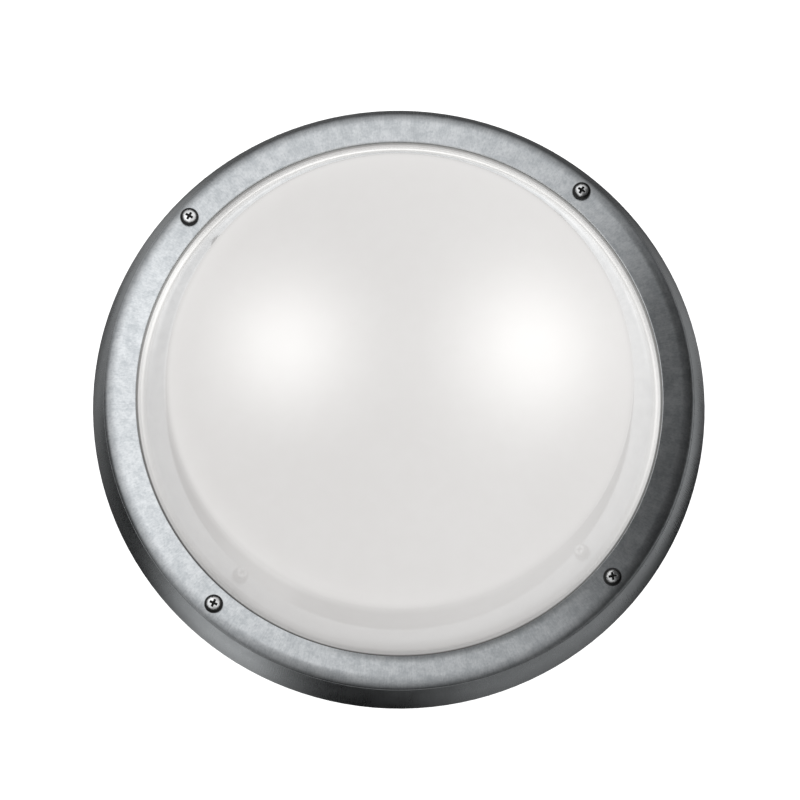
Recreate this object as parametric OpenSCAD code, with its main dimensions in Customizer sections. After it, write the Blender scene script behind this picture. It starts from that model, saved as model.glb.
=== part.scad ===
// Round bulkhead light: a cast base, a bezel ring held by four screws and an opal
// diffuser, with a gear tray inside that carries two lampholders, two lamps, a
// terminal block and the wiring. Sizes are in millimetres. The wall is the plane
// z = 0, +Z points out of the wall, +Y is up on the wall, and the origin is the
// centre of the back face.

/* [Base] */
// Outer diameter across the rear rim
base_d = 330; // [320:1:360]
// Height of the base from the wall to its front land
base_h = 20.5; // [20:0.5:28]
// How far the flank leans in from the rear rim to the front edge
flank_lean = 7; // [4:0.5:10]
// Radius of the outward bulge of the flank
flank_r = 110; // [60:1:160]
// Height of the upright lip at the rear rim
lip_h = 1; // [0.5:0.1:3]
// Chamfer on the front edge of the base
front_chamfer = 0.3; // [0.2:0.1:1]
// Wall thickness of the casting
wall_t = 3; // [2.5:0.1:3.5]
// Floor thickness of the casting
floor_t = 3; // [2.5:0.1:4]
// Depth of the rebate for the gasket below the front land
rebate_depth = 4; // [3:0.1:5]
// Width of the gasket seat in the rebate
seat_w = 9.2; // [7:0.1:11]
// Material left between the rebate and the bezel screw holes
rebate_wall = 1.8; // [1.2:0.1:2.5]

/* [Wall fixing] */
// Distance of the wall fixing holes in from the rear rim
fix_inset = 55; // [47:1:65]
// Number of wall fixing holes
fix_count = 4; // [4]
// Radius of each wall fixing hole
fix_hole_r = 3; // [2.5:0.1:3.5]
// Radius of the raised pad round each wall fixing hole
fix_pad_r = 8; // [7:0.5:10]
// Height of the raised pad round each wall fixing hole
fix_pad_h = 1; // [0.5:0.1:1.5]

/* [Bezel] */
// How far the bezel stands in from the front edge of the base, below zero where it overhangs
bezel_step = -0.6; // [-1:0.1:1.5]
// Width of the bezel ring
bezel_w = 17.6; // [16:0.1:19]
// Thickness of the ring at its opening
bezel_t = 2.9; // [2.4:0.1:4]
// Outward fall of the ring's face in degrees
face_slope = 1.5; // [0.5:0.5:4]
// Radius of the rounded outer edge of the ring
edge_r = 7.6; // [6.5:0.1:8]
// Radius on the inner edge of the ring
inner_edge_r = 1; // [0.5:0.1:1.8]
// Thickness of the ring's outer skirt
skirt_t = 3; // [2:0.1:3.4]

/* [Bezel screws] */
// Angle of the first bezel screw from +X in degrees
screw_angle = 49; // [45:1:53]
// Number of bezel screws
screw_count = 4; // [4]
// Radius of a bezel screw's thread
screw_r = 2.5; // [2:0.1:2.6]
// Radius of a bezel screw's head
screw_head_r = 5; // [4.5:0.1:5.3]
// Height of a bezel screw's head
screw_head_h = 3.7; // [3:0.1:4]
// Height of the upright side of a bezel screw's head
screw_side_h = 1.5; // [1:0.1:1.8]
// Length of a bezel screw below its head
screw_l = 14; // [12:0.5:15]
// Depth of the cross recess in a bezel screw
recess_depth = 2.2; // [1.5:0.1:2.4]
// Length of the cross recess across a bezel screw
recess_l = 5.2; // [4.4:0.1:5.6]
// Width of each arm of the cross recess
recess_w = 1.3; // [1:0.1:1.6]
// Radius of the boss round a bezel screw
screw_boss_r = 5.2; // [5:0.1:5.8]

/* [Diffuser] */
// Gap between the diffuser and the bezel's opening
diffuser_gap = 2.4; // [1:0.1:3]
// Wall thickness of the diffuser
diffuser_t = 3; // [2.5:0.1:3.4]
// Height of the edge of the face above the bezel's underside
shoulder_h = 48.2; // [46:0.1:60]
// How far the wall leans in up to the edge of the face
wall_lean = 16.9; // [10:0.1:20]
// Height of the crown of the face above its edge
crown_h = 6.8; // [5:0.1:10]
// Radius of the shoulder between wall and face
shoulder_r = 7; // [5:0.1:9]
// Thickness of the diffuser's flange
flange_t = 3; // [2.5:0.1:3.5]
// Thickness of the gasket under the flange as it is clamped
gasket_t = 2.9; // [2.5:0.1:3.5]
// Width of the gasket under the flange
gasket_w = 6; // [5:0.1:6.5]
// Thickness of the gasket's lip on top of the flange
gasket_lip_t = 0.6; // [0.4:0.1:0.8]
// Gap between the diffuser's wall and the gasket's lip
gasket_lip_gap = 2.1; // [0.4:0.1:2.2]
// Thickness of the gasket round the edge of the flange
gasket_web_t = 1.2; // [0.8:0.1:1.6]

/* [Cable entry] */
// Radius of the bore for the supply cable
cable_r = 4; // [3.5:0.1:4.5]
// Radius of the entry hole in the base
entry_r = 10; // [9:0.1:11]
// Rise of the entry boss above the floor
entry_rise = 3; // [2.5:0.1:4]
// Width of the grommet's flanges
grommet_flange_w = 3.2; // [2.5:0.1:4]
// Thickness of the grommet's flanges
grommet_flange_t = 1.8; // [1.4:0.1:2]
// Length of the grommet's nose
grommet_nose_l = 6; // [4:0.5:8]

/* [Gear tray] */
// Sheet thickness of the tray
tray_t = 1.2; // [0.8:0.1:1.6]
// Gap between the tray and the wall of the base
tray_gap = 3; // [2:0.1:6]
// Height of the tray's turned-up rim
tray_rim_h = 6; // [4:0.5:8]
// Height of the pillars under the tray
pillar_h = 2.5; // [2:0.1:3]
// Radius of each pillar
pillar_r = 5; // [4.5:0.1:6]
// Distance of the pillars in from the tray's edge
pillar_inset = 12; // [11:0.5:16]
// Angle of the pillars above and below the X axis in degrees
pillar_angle = 22; // [20:1:26]
// Radius of the access holes over the wall fixings
access_r = 9; // [8:0.5:11]

/* [Lamps] */
// Distance of each lamp from the middle as a share of the tray's radius
lamp_share = 0.497; // [0.48:0.001:0.52]
// Diameter of a lamp's globe
lamp_d = 60; // [55:0.5:61]
// Length of a lamp from globe to contact
lamp_l = 105; // [100:0.5:108]
// Gap between the globes and the tray
lamp_clear = 2; // [1.5:0.1:3]
// Radius of a lamp's screw cap
cap_r = 13.2; // [12.8:0.1:13.3]
// Length of a lamp's screw cap
cap_l = 24; // [22:0.5:26]
// Length of the insulator and contact at the end of the cap
tip_l = 4; // [3:0.1:5]
// Radius of the contact at the end of the cap
tip_r = 4.5; // [4:0.1:5]

/* [Lampholders] */
// Radius of a lampholder's body
holder_r = 21; // [20:0.1:22]
// Depth of a lampholder's socket
socket_depth = 29; // [26:0.5:29]
// Thickness of a lampholder's back
holder_back_t = 15; // [13:0.5:16]
// Gap between a lamp's cap and the screw shell
shell_gap = 0.6; // [0.4:0.1:0.9]
// Thickness of a screw shell
shell_t = 0.6; // [0.5:0.1:0.8]
// Height of a centre contact's bow
contact_h = 2; // [1.6:0.1:3]
// Sheet thickness of the lampholder brackets
bracket_t = 1.5; // [1.2:0.1:2]
// Length of a bracket's foot
foot_l = 16; // [14:0.5:18]
// Gap between the outer corners of the brackets' feet and the tray's edge
foot_gap = 5.4; // [4:0.1:8]
// Distance of the fixing screws from a lampholder's axis
holder_screw_x = 15; // [14.5:0.1:15.5]
// Radius of the wire window in a bracket
window_r = 10.5; // [10:0.1:11]
// Distance of the wires from a lampholder's axis
holder_wire_x = 8; // [7:0.1:8.4]

/* [Terminal block] */
// Distance of the terminal block above the brackets
block_rise = 15; // [13:0.5:19]
// Distance between the poles of the terminal block
pole_pitch = 12; // [11.6:0.1:13]
// Width of the terminal block along the wires
block_w = 16; // [15:0.5:18]
// Height of the terminal block
block_h = 14; // [13.5:0.5:16]
// Outer radius of a terminal tube
tube_r = 2.9; // [2.8:0.1:3.1]
// Bore radius of a terminal tube
tube_bore_r = 2.3; // [2.2:0.1:2.4]
// Distance of the cable clamp above the terminal block
clamp_rise = 29; // [26:0.5:32]
// Distance of the earth terminal to the right of the middle of the light
earth_x = 30; // [27:0.5:34]
// Distance of the earth terminal below the brackets
earth_drop = 19; // [17:0.5:23]
// Radius of an inner wire over its sleeve
wire_r = 1; // [0.8:0.05:1.05]

/* [Hidden] */
$fn = 96;

// Running clearance round a screw or pin, and the overlap that joins or cuts through
fit_gap = 0.05;
cut = 1;

// Radii of the base and the ring, from the rim inwards
base_r = base_d / 2;
fix_r = base_r - fix_inset;
top_r = base_r - flank_lean;
bezel_r = top_r - bezel_step;
opening_r = bezel_r - bezel_w;
screw_circle_r = opening_r + bezel_w / 2;
rebate_r = screw_circle_r - screw_r - rebate_wall;
cavity_r = rebate_r - seat_w;
channel_r = cavity_r + wall_t;

// Heights of the stack that the bezel clamps
rebate_z = base_h - rebate_depth;
flange_z = rebate_z + gasket_t;
flange_top = flange_z + flange_t;
clamp_z = flange_top + gasket_lip_t;
bezel_z = clamp_z + bezel_t;
gasket_side_gap = 0.4;
gasket_r = rebate_r - gasket_side_gap;
flange_r = gasket_r - gasket_web_t;

// Centre of the flank's bulge, from its two ends; its foot runs just past the lip
lip_overlap = 0.02;
flank_foot = [base_r + lip_overlap, lip_h];
flank_head = [top_r, base_h];
flank_run = flank_head - flank_foot;
flank_mid = (flank_head + flank_foot) / 2;
flank_back = sqrt(flank_r * flank_r - norm(flank_run) * norm(flank_run) / 4);
flank_c = flank_mid - flank_back * [flank_run[1], -flank_run[0]] / norm(flank_run);

// Centre of the ring's rounded edge, touching the sloping face
edge_x = bezel_r - edge_r;
edge_z = bezel_z - (edge_x - opening_r) * tan(face_slope) - edge_r / cos(face_slope);
inner_edge_x = opening_r + inner_edge_r;
inner_edge_z = bezel_z - inner_edge_r * (1 / cos(face_slope) + tan(face_slope));
screw_seat_z = bezel_z - bezel_w / 2 * tan(face_slope);
spot_gap = 0.4;

// Form of the diffuser: wall line, crown sphere and the shoulder between them
root_r = opening_r - diffuser_gap;
lean_angle = atan(wall_lean / shoulder_h);
rim_r = root_r - wall_lean;
rim_z = clamp_z + shoulder_h;
crown_r = (rim_r * rim_r + crown_h * crown_h) / (2 * crown_h);
crown_z = rim_z + crown_h - crown_r;
wall_dir = [-sin(lean_angle), cos(lean_angle)];
wall_in = [-cos(lean_angle), -sin(lean_angle)];
shoulder_p = [root_r, clamp_z - crown_z] + shoulder_r * wall_in;
shoulder_b = shoulder_p * wall_dir;
shoulder_q = shoulder_p * shoulder_p - (crown_r - shoulder_r) * (crown_r - shoulder_r);
shoulder_k = -shoulder_b + sqrt(shoulder_b * shoulder_b - shoulder_q);
shoulder_c = shoulder_p + shoulder_k * wall_dir + [0, crown_z];
shoulder_dir = (shoulder_c - [0, crown_z]) / norm(shoulder_c - [0, crown_z]);

// Cable entry
recess_gap = 1;
entry_recess_r = entry_r + grommet_flange_w + recess_gap;
entry_boss_r = entry_recess_r + wall_t;
entry_z = entry_rise;
entry_top = floor_t + entry_rise;
grommet_r = entry_r - 2 * fit_gap;
grommet_end_r = 1.5 * cable_r;
grommet_nose_r = 2 * cable_r;

// Gear tray
tray_r = cavity_r - tray_gap;
tray_z = floor_t + pillar_h;
tray_top = tray_z + tray_t;
tray_hole_gap = 2;
tray_hole_r = entry_boss_r + tray_hole_gap;
pillar_at_r = tray_r - pillar_inset;
pillar_at = [
    for (sx = [-1, 1])
        for (sy = [-1, 1])
            [sx * pillar_at_r * cos(pillar_angle), sy * pillar_at_r * sin(pillar_angle)]
];
m4_r = 2;
m4_head_r = 4;
m4_head_h = 2.6;
m3_r = 1.5;
m3_head_r = 2.3;
m3_head_h = 1.6;
slot_w = 0.8;
slot_depth = 0.9;
sheet_hole_gap = 0.2;
tray_screw_l = tray_t + pillar_h + 0.7 * m4_r;
pillar_hole_l = pillar_h + m4_r;

// Lamps and lampholders, which stand on the brackets by the lower edge of the tray
lamp_x = lamp_share * tray_r;
lamp_z = tray_top + lamp_clear + lamp_d / 2;
globe_r = lamp_d / 2;
foot_corner_x = lamp_x + holder_r;
foot_corner_r = tray_r - foot_gap;
foot_corner_y = -sqrt(foot_corner_r * foot_corner_r - foot_corner_x * foot_corner_x);
bracket_y = foot_corner_y + foot_l;
holder_y = bracket_y + bracket_t;
socket_y = holder_y + holder_back_t;
lamp_end_y = socket_y + contact_h;
neck_r = cap_r + 1;
neck_from = tip_l + cap_l;
globe_at = lamp_l - globe_r;
neck_run = globe_at - neck_from;
neck_d = norm([neck_r, neck_run]);
neck_turn = atan2(neck_r, -neck_run) - acos(globe_r / neck_d);
tangent_at = [globe_r * sin(neck_turn), globe_at + globe_r * cos(neck_turn)];
shell_in = cap_r + shell_gap;
shell_r = shell_in + shell_t;
socket_r = shell_r + 2 * fit_gap;
shell_from = contact_h + tip_l;
shell_sunk = 3;
shell_l = socket_depth - shell_from - shell_sunk;
holder_screw_l = 8;
wire_grip = 5;
rivet_x = 12;
rivet_y = bracket_y - foot_l / 2;
rivet_r = 1.6;
rivet_head_r = 3;
rivet_head_h = 1;
contact_w = 6;
contact_l = 16;
contact_t = 0.6;

// Terminal block, cable clamp and earth terminal
poles = [-1, 0, 1];
block_end_w = 7;
block_l = 2 * (pole_pitch + block_end_w);
block_y = -bracket_y - block_rise;
pole_h = 6;
pole_z = tray_top + pole_h;
tube_sunk = 0.5;
tube_l = block_w - 2 * tube_sunk;
clamp_screw_y = block_w / 4;
terminal_screw_r = 1.6;
terminal_screw_l = 5;
block_screw_at = pole_pitch / 2;
clamp_t = 1.5;
clamp_w = 8;
clamp_slack = 0.3;
clamp_arch_r = cable_r + clamp_slack;
clamp_screw_gap = 5;
clamp_screw_x = clamp_arch_r + clamp_t + clamp_screw_gap;
clamp_foot_x = clamp_screw_x + clamp_w / 2;
clamp_y = block_y - clamp_rise;
earth_y = earth_drop - bracket_y;
earth_p = [earth_x, -earth_y];
lug_t = 0.8;
lug_r = 4.2;
lug_l = 11;
lug_w = 3.2;
washer_t = 0.8;
washer_r = 4;
barrel_t = 0.7;
barrel_r = wire_r + barrel_t;
barrel_l = 5;

// Wire routes: from a pole of the block, round behind the brackets, into a holder
wire_sides = 8;
wire_steps = 4;
wire_pair = wire_r + 2 * fit_gap;
wire_lead = 4;
wire_sway = 3;
wire_rise = 8;
run_gap = 12;
run_side_gap = 15;
level_step = 2;
back_step = 8;
block_back_y = -block_y - block_w / 2;
run_y = bracket_y - run_gap;
run_x = lamp_x - holder_r - run_side_gap;

// Points of a wire from a pole of the block to a terminal of a lampholder, running at
// some number of level steps above the pole and of back steps behind the others
function holder_route(pole, side, pick, levels, backs) =
    let (level = levels * level_step, back_y = run_y - backs * back_step,
        pole_x = pole * pole_pitch, end_x = side * lamp_x + pick * holder_wire_x,
        start_z = pole_z - side * wire_pair)
    [
        [pole_x, block_back_y + wire_grip, start_z],
        [pole_x, block_back_y - wire_lead / 4, start_z],
        [pole_x, block_back_y - wire_lead, start_z],
        [pole_x + side * wire_sway, back_y + wire_lead, pole_z + level / 2],
        [side * run_x, back_y, pole_z + level],
        [end_x - 2 * side * wire_sway, back_y + wire_lead / 2, lamp_z - wire_rise],
        [end_x, bracket_y - wire_lead - wire_r, lamp_z],
        [end_x, bracket_y - wire_lead / 2, lamp_z],
        [end_x, holder_y + wire_grip, lamp_z]
    ];

// Points of the earth wire from the middle pole to its lug
lug_end = earth_p + [-lug_l - barrel_l / 2, 0];
lug_z = tray_top + washer_t + barrel_r;
earth_route = [
    [0, block_back_y + wire_grip, pole_z],
    [0, block_back_y - wire_lead / 4, pole_z],
    [0, block_back_y - wire_lead, pole_z],
    [wire_lead / 2, -earth_y + wire_rise, pole_z - wire_lead / 2],
    [lug_end[0] - barrel_l - wire_lead / 2, -earth_y, lug_z],
    [lug_end[0] - barrel_l, -earth_y, lug_z],
    [lug_end[0] + barrel_l / 2, -earth_y, lug_z]
];

// A smooth curve through the points, as one list of positions
function spline(p) = [
    for (i = [0:len(p) - 2])
        let (a = p[max(i - 1, 0)], b = p[i], c = p[i + 1], d = p[min(i + 2, len(p) - 1)])
            for (k = [0:wire_steps - (i < len(p) - 2 ? 1 : 0)])
                let (t = k / wire_steps)
                    0.5 * (2 * b + (c - a) * t + (2 * a - 5 * b + 4 * c - d) * t * t
                        + (3 * b - a - 3 * c + d) * t * t * t)
];

function unit(v) = v / norm(v);
function heading(p, i) = unit(p[min(i + 1, len(p) - 1)] - p[max(i - 1, 0)]);

// The side direction at each position, carried along without twisting
function carried(p, i, last) = i >= len(p) ? [] :
    let (t = heading(p, i), u = unit(last - (last * t) * t))
        concat([u], carried(p, i + 1, u));

// A round wire along a route
module wire(route) {
    p = spline(route);
    sides = carried(p, 0, [1, 0, 0]);
    n = wire_sides;
    points = [
        for (i = [0:len(p) - 1])
            let (t = heading(p, i), v = cross(t, sides[i]))
                for (k = [0:n - 1])
                    p[i] + wire_r * (cos(360 * k / n) * sides[i] + sin(360 * k / n) * v)
    ];
    side_faces = [
        for (i = [0:len(p) - 2])
            for (k = [0:n - 1])
                for (f = [0, 1])
                    let (a = i * n + k, b = i * n + (k + 1) % n)
                        f == 0 ? [a, a + n, b] : [b, a + n, b + n]
    ];
    start_face = [for (k = [0:n - 1]) k];
    end_face = [for (k = [n - 1:-1:0]) (len(p) - 1) * n + k];
    polyhedron(points, concat([start_face], side_faces, [end_face]));
}

// Places children at every bezel screw
module at_screws() {
    for (i = [0:screw_count - 1])
        rotate(screw_angle + i * 360 / screw_count)
            translate([screw_circle_r, 0, 0])
                children();
}

// Places children at every wall fixing hole
module at_fixings() {
    for (i = [0:fix_count - 1])
        rotate(i * 360 / fix_count)
            translate([fix_r, 0, 0])
                children();
}

// Places children at every tray pillar
module at_pillars() {
    for (p = pillar_at)
        translate([p[0], p[1], 0])
            children();
}

// Turns a part made along Z to lie along a lamp's axis, starting at a given y
module along_lamp(side, y) {
    translate([side * lamp_x, y, lamp_z])
        rotate([-90, 0, 0])
            children();
}

// A slotted round-head screw, seated at z = 0 with its shank below
module slotted_screw(r, head_r, head_h, length) {
    difference() {
        union() {
            cylinder(r = head_r, h = head_h);
            translate([0, 0, -length])
                cylinder(r = r, h = length + cut / 2);
        }
        translate([-head_r - cut, -slot_w / 2, head_h - slot_depth])
            cube([2 * (head_r + cut), slot_w, slot_depth + cut]);
    }
}

// The outline of the base, filled in to the axis
module base_outline() {
    difference() {
        union() {
            square([base_r, lip_h]);
            square([flank_c[0], base_h]);
            intersection() {
                translate(flank_c)
                    circle(flank_r, $fn = 240);
                translate([flank_c[0] - cut, lip_h - cut])
                    square([flank_r + 2 * cut, base_h - lip_h + cut]);
                square([base_r, base_h]);
            }
        }
        translate([top_r, base_h])
            polygon([[-front_chamfer, 0], [-front_chamfer, cut], [cut, cut], [cut, -front_chamfer - cut]]);
    }
}

// The hollow behind the flank, open to the wall
module channel_outline() {
    difference() {
        union() {
            translate([channel_r, -cut])
                square([base_r - wall_t - channel_r, lip_h + cut]);
            intersection() {
                translate(flank_c)
                    circle(flank_r - wall_t, $fn = 240);
                translate([channel_r, 0])
                    square([base_r - wall_t - channel_r, base_h - wall_t]);
            }
        }
        translate([channel_r - cut, rebate_z - wall_t])
            square([rebate_r + wall_t - channel_r + cut, rebate_depth + wall_t]);
    }
}

// Cast base: floor, inner wall, land and flank in one piece
module base_housing() {
    color("silver")
    difference() {
        union() {
            rotate_extrude()
                difference() {
                    base_outline();
                    translate([0, floor_t])
                        square([cavity_r, base_h]);
                    channel_outline();
                }
            at_screws()
                translate([0, 0, base_h - screw_l])
                    cylinder(r = screw_boss_r, h = screw_l - wall_t + cut / 2);
            at_pillars()
                translate([0, 0, floor_t - cut])
                    cylinder(r = pillar_r, h = pillar_h + cut);
            at_fixings()
                translate([0, 0, floor_t - cut])
                    cylinder(r = fix_pad_r, h = fix_pad_h + cut);
            translate([earth_p[0], earth_p[1], floor_t - cut])
                cylinder(r = pillar_r, h = pillar_h + cut);
            translate([0, 0, floor_t - cut])
                cylinder(r = entry_boss_r, h = entry_rise + cut);
        }
        translate([0, 0, rebate_z])
            cylinder(r = rebate_r, h = base_h);
        at_screws()
            translate([0, 0, base_h - screw_l + wall_t / 2])
                cylinder(r = screw_r + fit_gap, h = screw_l + cut);
        at_pillars()
            translate([0, 0, tray_z - pillar_hole_l])
                cylinder(r = m4_r + fit_gap, h = pillar_hole_l + cut);
        translate([earth_p[0], earth_p[1], tray_z - pillar_hole_l])
            cylinder(r = m4_r + fit_gap, h = pillar_hole_l + cut);
        at_fixings()
            translate([0, 0, -cut])
                cylinder(r = fix_hole_r, h = floor_t + fix_pad_h + 2 * cut);
        translate([0, 0, -cut])
            cylinder(r = entry_recess_r, h = entry_z + cut);
        translate([0, 0, -cut])
            cylinder(r = entry_r, h = entry_top + 2 * cut);
    }
}

// Bezel: a ring with a falling face, a rounded outer edge and a skirt on the base
module bezel_outline() {
    intersection() {
        translate([opening_r, base_h])
            square([bezel_w, bezel_z - base_h]);
        union() {
            polygon([
                [inner_edge_x, inner_edge_z],
                [inner_edge_x + inner_edge_r * sin(face_slope),
                    inner_edge_z + inner_edge_r * cos(face_slope)],
                [edge_x + edge_r * sin(face_slope), edge_z + edge_r * cos(face_slope)],
                [edge_x, edge_z],
                [edge_x, base_h - edge_r],
                [inner_edge_x, base_h - edge_r]
            ]);
            translate([inner_edge_x, inner_edge_z])
                circle(inner_edge_r);
            translate([opening_r, base_h])
                square([2 * inner_edge_r, inner_edge_z - base_h]);
            translate([edge_x, edge_z])
                circle(edge_r);
            translate([edge_x - cut, edge_z - edge_r])
                square([edge_r + cut, edge_r]);
        }
    }
}

module bezel_ring() {
    color("lightgray")
    difference() {
        rotate_extrude()
            difference() {
                bezel_outline();
                translate([opening_r - cut, base_h - cut])
                    square([bezel_w - skirt_t + cut, clamp_z - base_h + cut]);
            }
        at_screws() {
            translate([0, 0, base_h])
                cylinder(r = screw_r + 5 * fit_gap, h = 2 * bezel_t + rebate_depth);
            translate([0, 0, screw_seat_z])
                cylinder(r = screw_head_r + spot_gap, h = screw_head_h);
        }
    }
}

// Bezel screws: four pan heads with a cross recess
module bezel_screws() {
    crown = screw_head_h - screw_side_h;
    ball_r = (screw_head_r * screw_head_r + crown * crown) / (2 * crown);
    color("gainsboro")
    at_screws()
        translate([0, 0, screw_seat_z])
            difference() {
                union() {
                    rotate_extrude()
                        intersection() {
                            square([screw_head_r, screw_head_h]);
                            translate([0, screw_head_h - ball_r])
                                circle(ball_r);
                        }
                    translate([0, 0, -screw_l])
                        cylinder(r = screw_r, h = screw_l + cut / 2);
                }
                for (a = [0, 90])
                    rotate(a)
                        translate([-recess_l / 2, -recess_w / 2, screw_head_h - recess_depth])
                            cube([recess_l, recess_w, recess_depth + cut]);
            }
}

// The section of the diffuser's bowl, filled in to the axis and drawn in by some amount
module bowl_outline(inset) {
    foot = [root_r, clamp_z] + inset * wall_in;
    low = foot - wall_dir * (2 * flange_t);
    wall_top = shoulder_c - (shoulder_r - inset) * wall_in;
    face_edge = shoulder_c + (shoulder_r - inset) * shoulder_dir;
    union() {
        polygon([[0, low[1]], low, wall_top, shoulder_c, face_edge, [0, face_edge[1]]]);
        translate(shoulder_c)
            circle(shoulder_r - inset);
        intersection() {
            translate([0, crown_z])
                circle(crown_r - inset, $fn = 256);
            translate([0, face_edge[1] - cut])
                square([face_edge[0], crown_h + shoulder_r]);
        }
    }
}

// Opal diffuser: bowl with a flange at its foot
module diffuser() {
    color("white")
    rotate_extrude()
        difference() {
            union() {
                intersection() {
                    bowl_outline(0);
                    translate([0, flange_z])
                        square([flange_r, shoulder_h + crown_h + 2 * flange_t]);
                }
                translate([root_r - diffuser_t, flange_z])
                    square([flange_r - root_r + diffuser_t, flange_t]);
            }
            bowl_outline(diffuser_t);
        }
}

// Gasket folded round the flange, between the bezel and the base
module diffuser_gasket() {
    lip_x = root_r + gasket_lip_gap;
    color("dimgray")
    rotate_extrude()
        difference() {
            union() {
                translate([gasket_r - gasket_w, rebate_z])
                    square([gasket_w, gasket_t]);
                translate([flange_r, rebate_z])
                    square([gasket_web_t, clamp_z - rebate_z]);
                translate([lip_x, flange_top])
                    square([gasket_r - lip_x, gasket_lip_t]);
            }
            translate([root_r, flange_z])
                square([flange_r - root_r, flange_t]);
        }
}

// Rubber grommet that the supply cable passes through
module cable_grommet() {
    color("black")
    rotate_extrude()
        difference() {
            union() {
                translate([0, entry_z - grommet_flange_t])
                    square([entry_r + grommet_flange_w, grommet_flange_t]);
                translate([0, entry_z - cut])
                    square([grommet_r, entry_top - entry_z + 2 * cut]);
                translate([0, entry_top])
                    square([entry_r + grommet_flange_w, grommet_flange_t]);
                polygon([
                    [0, entry_top],
                    [grommet_nose_r, entry_top],
                    [grommet_nose_r, entry_top + grommet_flange_t],
                    [grommet_end_r, entry_top + grommet_flange_t + grommet_nose_l],
                    [0, entry_top + grommet_flange_t + grommet_nose_l]
                ]);
            }
            square([cable_r, 4 * entry_top + grommet_nose_l]);
        }
}

// White gear tray with a turned-up rim
module gear_tray() {
    color("whitesmoke")
    difference() {
        union() {
            translate([0, 0, tray_z])
                cylinder(r = tray_r, h = tray_t);
            translate([0, 0, tray_z])
                difference() {
                    cylinder(r = tray_r, h = tray_rim_h);
                    translate([0, 0, -cut])
                        cylinder(r = tray_r - tray_t, h = tray_rim_h + 2 * cut);
                }
        }
        translate([0, 0, tray_z - cut])
            cylinder(r = tray_hole_r, h = tray_t + 2 * cut);
        at_fixings()
            translate([0, 0, tray_z - cut])
                cylinder(r = access_r, h = tray_t + 2 * cut);
        at_pillars()
            translate([0, 0, tray_z - cut])
                cylinder(r = m4_r + sheet_hole_gap, h = tray_t + 2 * cut);
        translate([earth_p[0], earth_p[1], tray_z - cut])
            cylinder(r = m4_r + sheet_hole_gap, h = tray_t + 2 * cut);
        for (side = [-1, 1])
            for (s = [-1, 1])
                translate([side * lamp_x + s * rivet_x, rivet_y, tray_z - cut])
                    cylinder(r = rivet_r + fit_gap, h = tray_t + 2 * cut);
        for (s = [-1, 1])
            translate([s * block_screw_at, -block_y, tray_z - cut])
                cylinder(r = m3_r + fit_gap, h = tray_t + 2 * cut);
        for (s = [-1, 1])
            translate([s * clamp_screw_x, -clamp_y, tray_z - cut])
                cylinder(r = m3_r + fit_gap, h = tray_t + 2 * cut);
    }
}

// Screws that hold the tray on its pillars
module tray_screws() {
    color("gainsboro")
    at_pillars()
        translate([0, 0, tray_top])
            slotted_screw(m4_r, m4_head_r, m4_head_h, tray_screw_l);
}

// Steel bracket behind a lampholder
module bracket(side) {
    color("lightgray")
    difference() {
        union() {
            translate([side * lamp_x - holder_r, bracket_y, tray_top])
                cube([2 * holder_r, bracket_t, lamp_z - tray_top]);
            along_lamp(side, bracket_y)
                cylinder(r = holder_r, h = bracket_t);
            translate([side * lamp_x - holder_r, bracket_y - foot_l, tray_top])
                cube([2 * holder_r, foot_l + bracket_t, bracket_t]);
        }
        along_lamp(side, bracket_y - cut)
            cylinder(r = window_r, h = bracket_t + 2 * cut);
        for (s = [-1, 1]) {
            along_lamp(side, bracket_y - cut)
                translate([s * holder_screw_x, 0, 0])
                    cylinder(r = m4_r + sheet_hole_gap, h = bracket_t + 2 * cut);
            translate([side * lamp_x + s * rivet_x, rivet_y, tray_top - cut])
                cylinder(r = rivet_r + fit_gap, h = bracket_t + 2 * cut);
        }
    }
}

module bracket_left() {
    bracket(-1);
}

module bracket_right() {
    bracket(1);
}

// Rivets through the brackets' feet and the tray
module bracket_rivets() {
    color("silver")
    for (side = [-1, 1])
        for (s = [-1, 1])
            translate([side * lamp_x + s * rivet_x, rivet_y, tray_z]) {
                translate([0, 0, -rivet_head_h])
                    cylinder(r = rivet_head_r, h = rivet_head_h);
                translate([0, 0, -cut / 2])
                    cylinder(r = rivet_r, h = tray_t + bracket_t + cut);
                translate([0, 0, tray_t + bracket_t])
                    cylinder(r = rivet_head_r, h = rivet_head_h);
            }
}

// Ceramic lampholder with a screw socket
module lampholder(side) {
    color("ivory")
    difference() {
        along_lamp(side, holder_y)
            cylinder(r = holder_r, h = holder_back_t + socket_depth);
        along_lamp(side, socket_y)
            cylinder(r = socket_r, h = socket_depth + cut);
        for (s = [-1, 1]) {
            along_lamp(side, holder_y - cut)
                translate([s * holder_screw_x, 0, 0])
                    cylinder(r = m4_r + fit_gap, h = holder_screw_l + 2 * cut);
            along_lamp(side, holder_y - cut)
                translate([s * holder_wire_x, 0, 0])
                    cylinder(r = wire_r + 4 * fit_gap, h = wire_grip + 2 * cut);
        }
    }
}

module lampholder_left() {
    lampholder(-1);
}

module lampholder_right() {
    lampholder(1);
}

// Screws from the brackets into the lampholders
module holder_screws() {
    color("gainsboro")
    for (side = [-1, 1])
        for (s = [-1, 1])
            along_lamp(side, bracket_y)
                translate([s * holder_screw_x, 0, 0])
                    rotate([180, 0, 0])
                        slotted_screw(m4_r, m4_head_r, m4_head_h, bracket_t + holder_screw_l);
}

// Screw shell inside a lampholder
module holder_shell(side) {
    color("goldenrod")
    along_lamp(side, socket_y + shell_from)
        difference() {
            cylinder(r = shell_r, h = shell_l);
            translate([0, 0, -cut])
                cylinder(r = shell_in, h = shell_l + 2 * cut);
        }
}

module holder_shell_left() {
    holder_shell(-1);
}

module holder_shell_right() {
    holder_shell(1);
}

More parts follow.
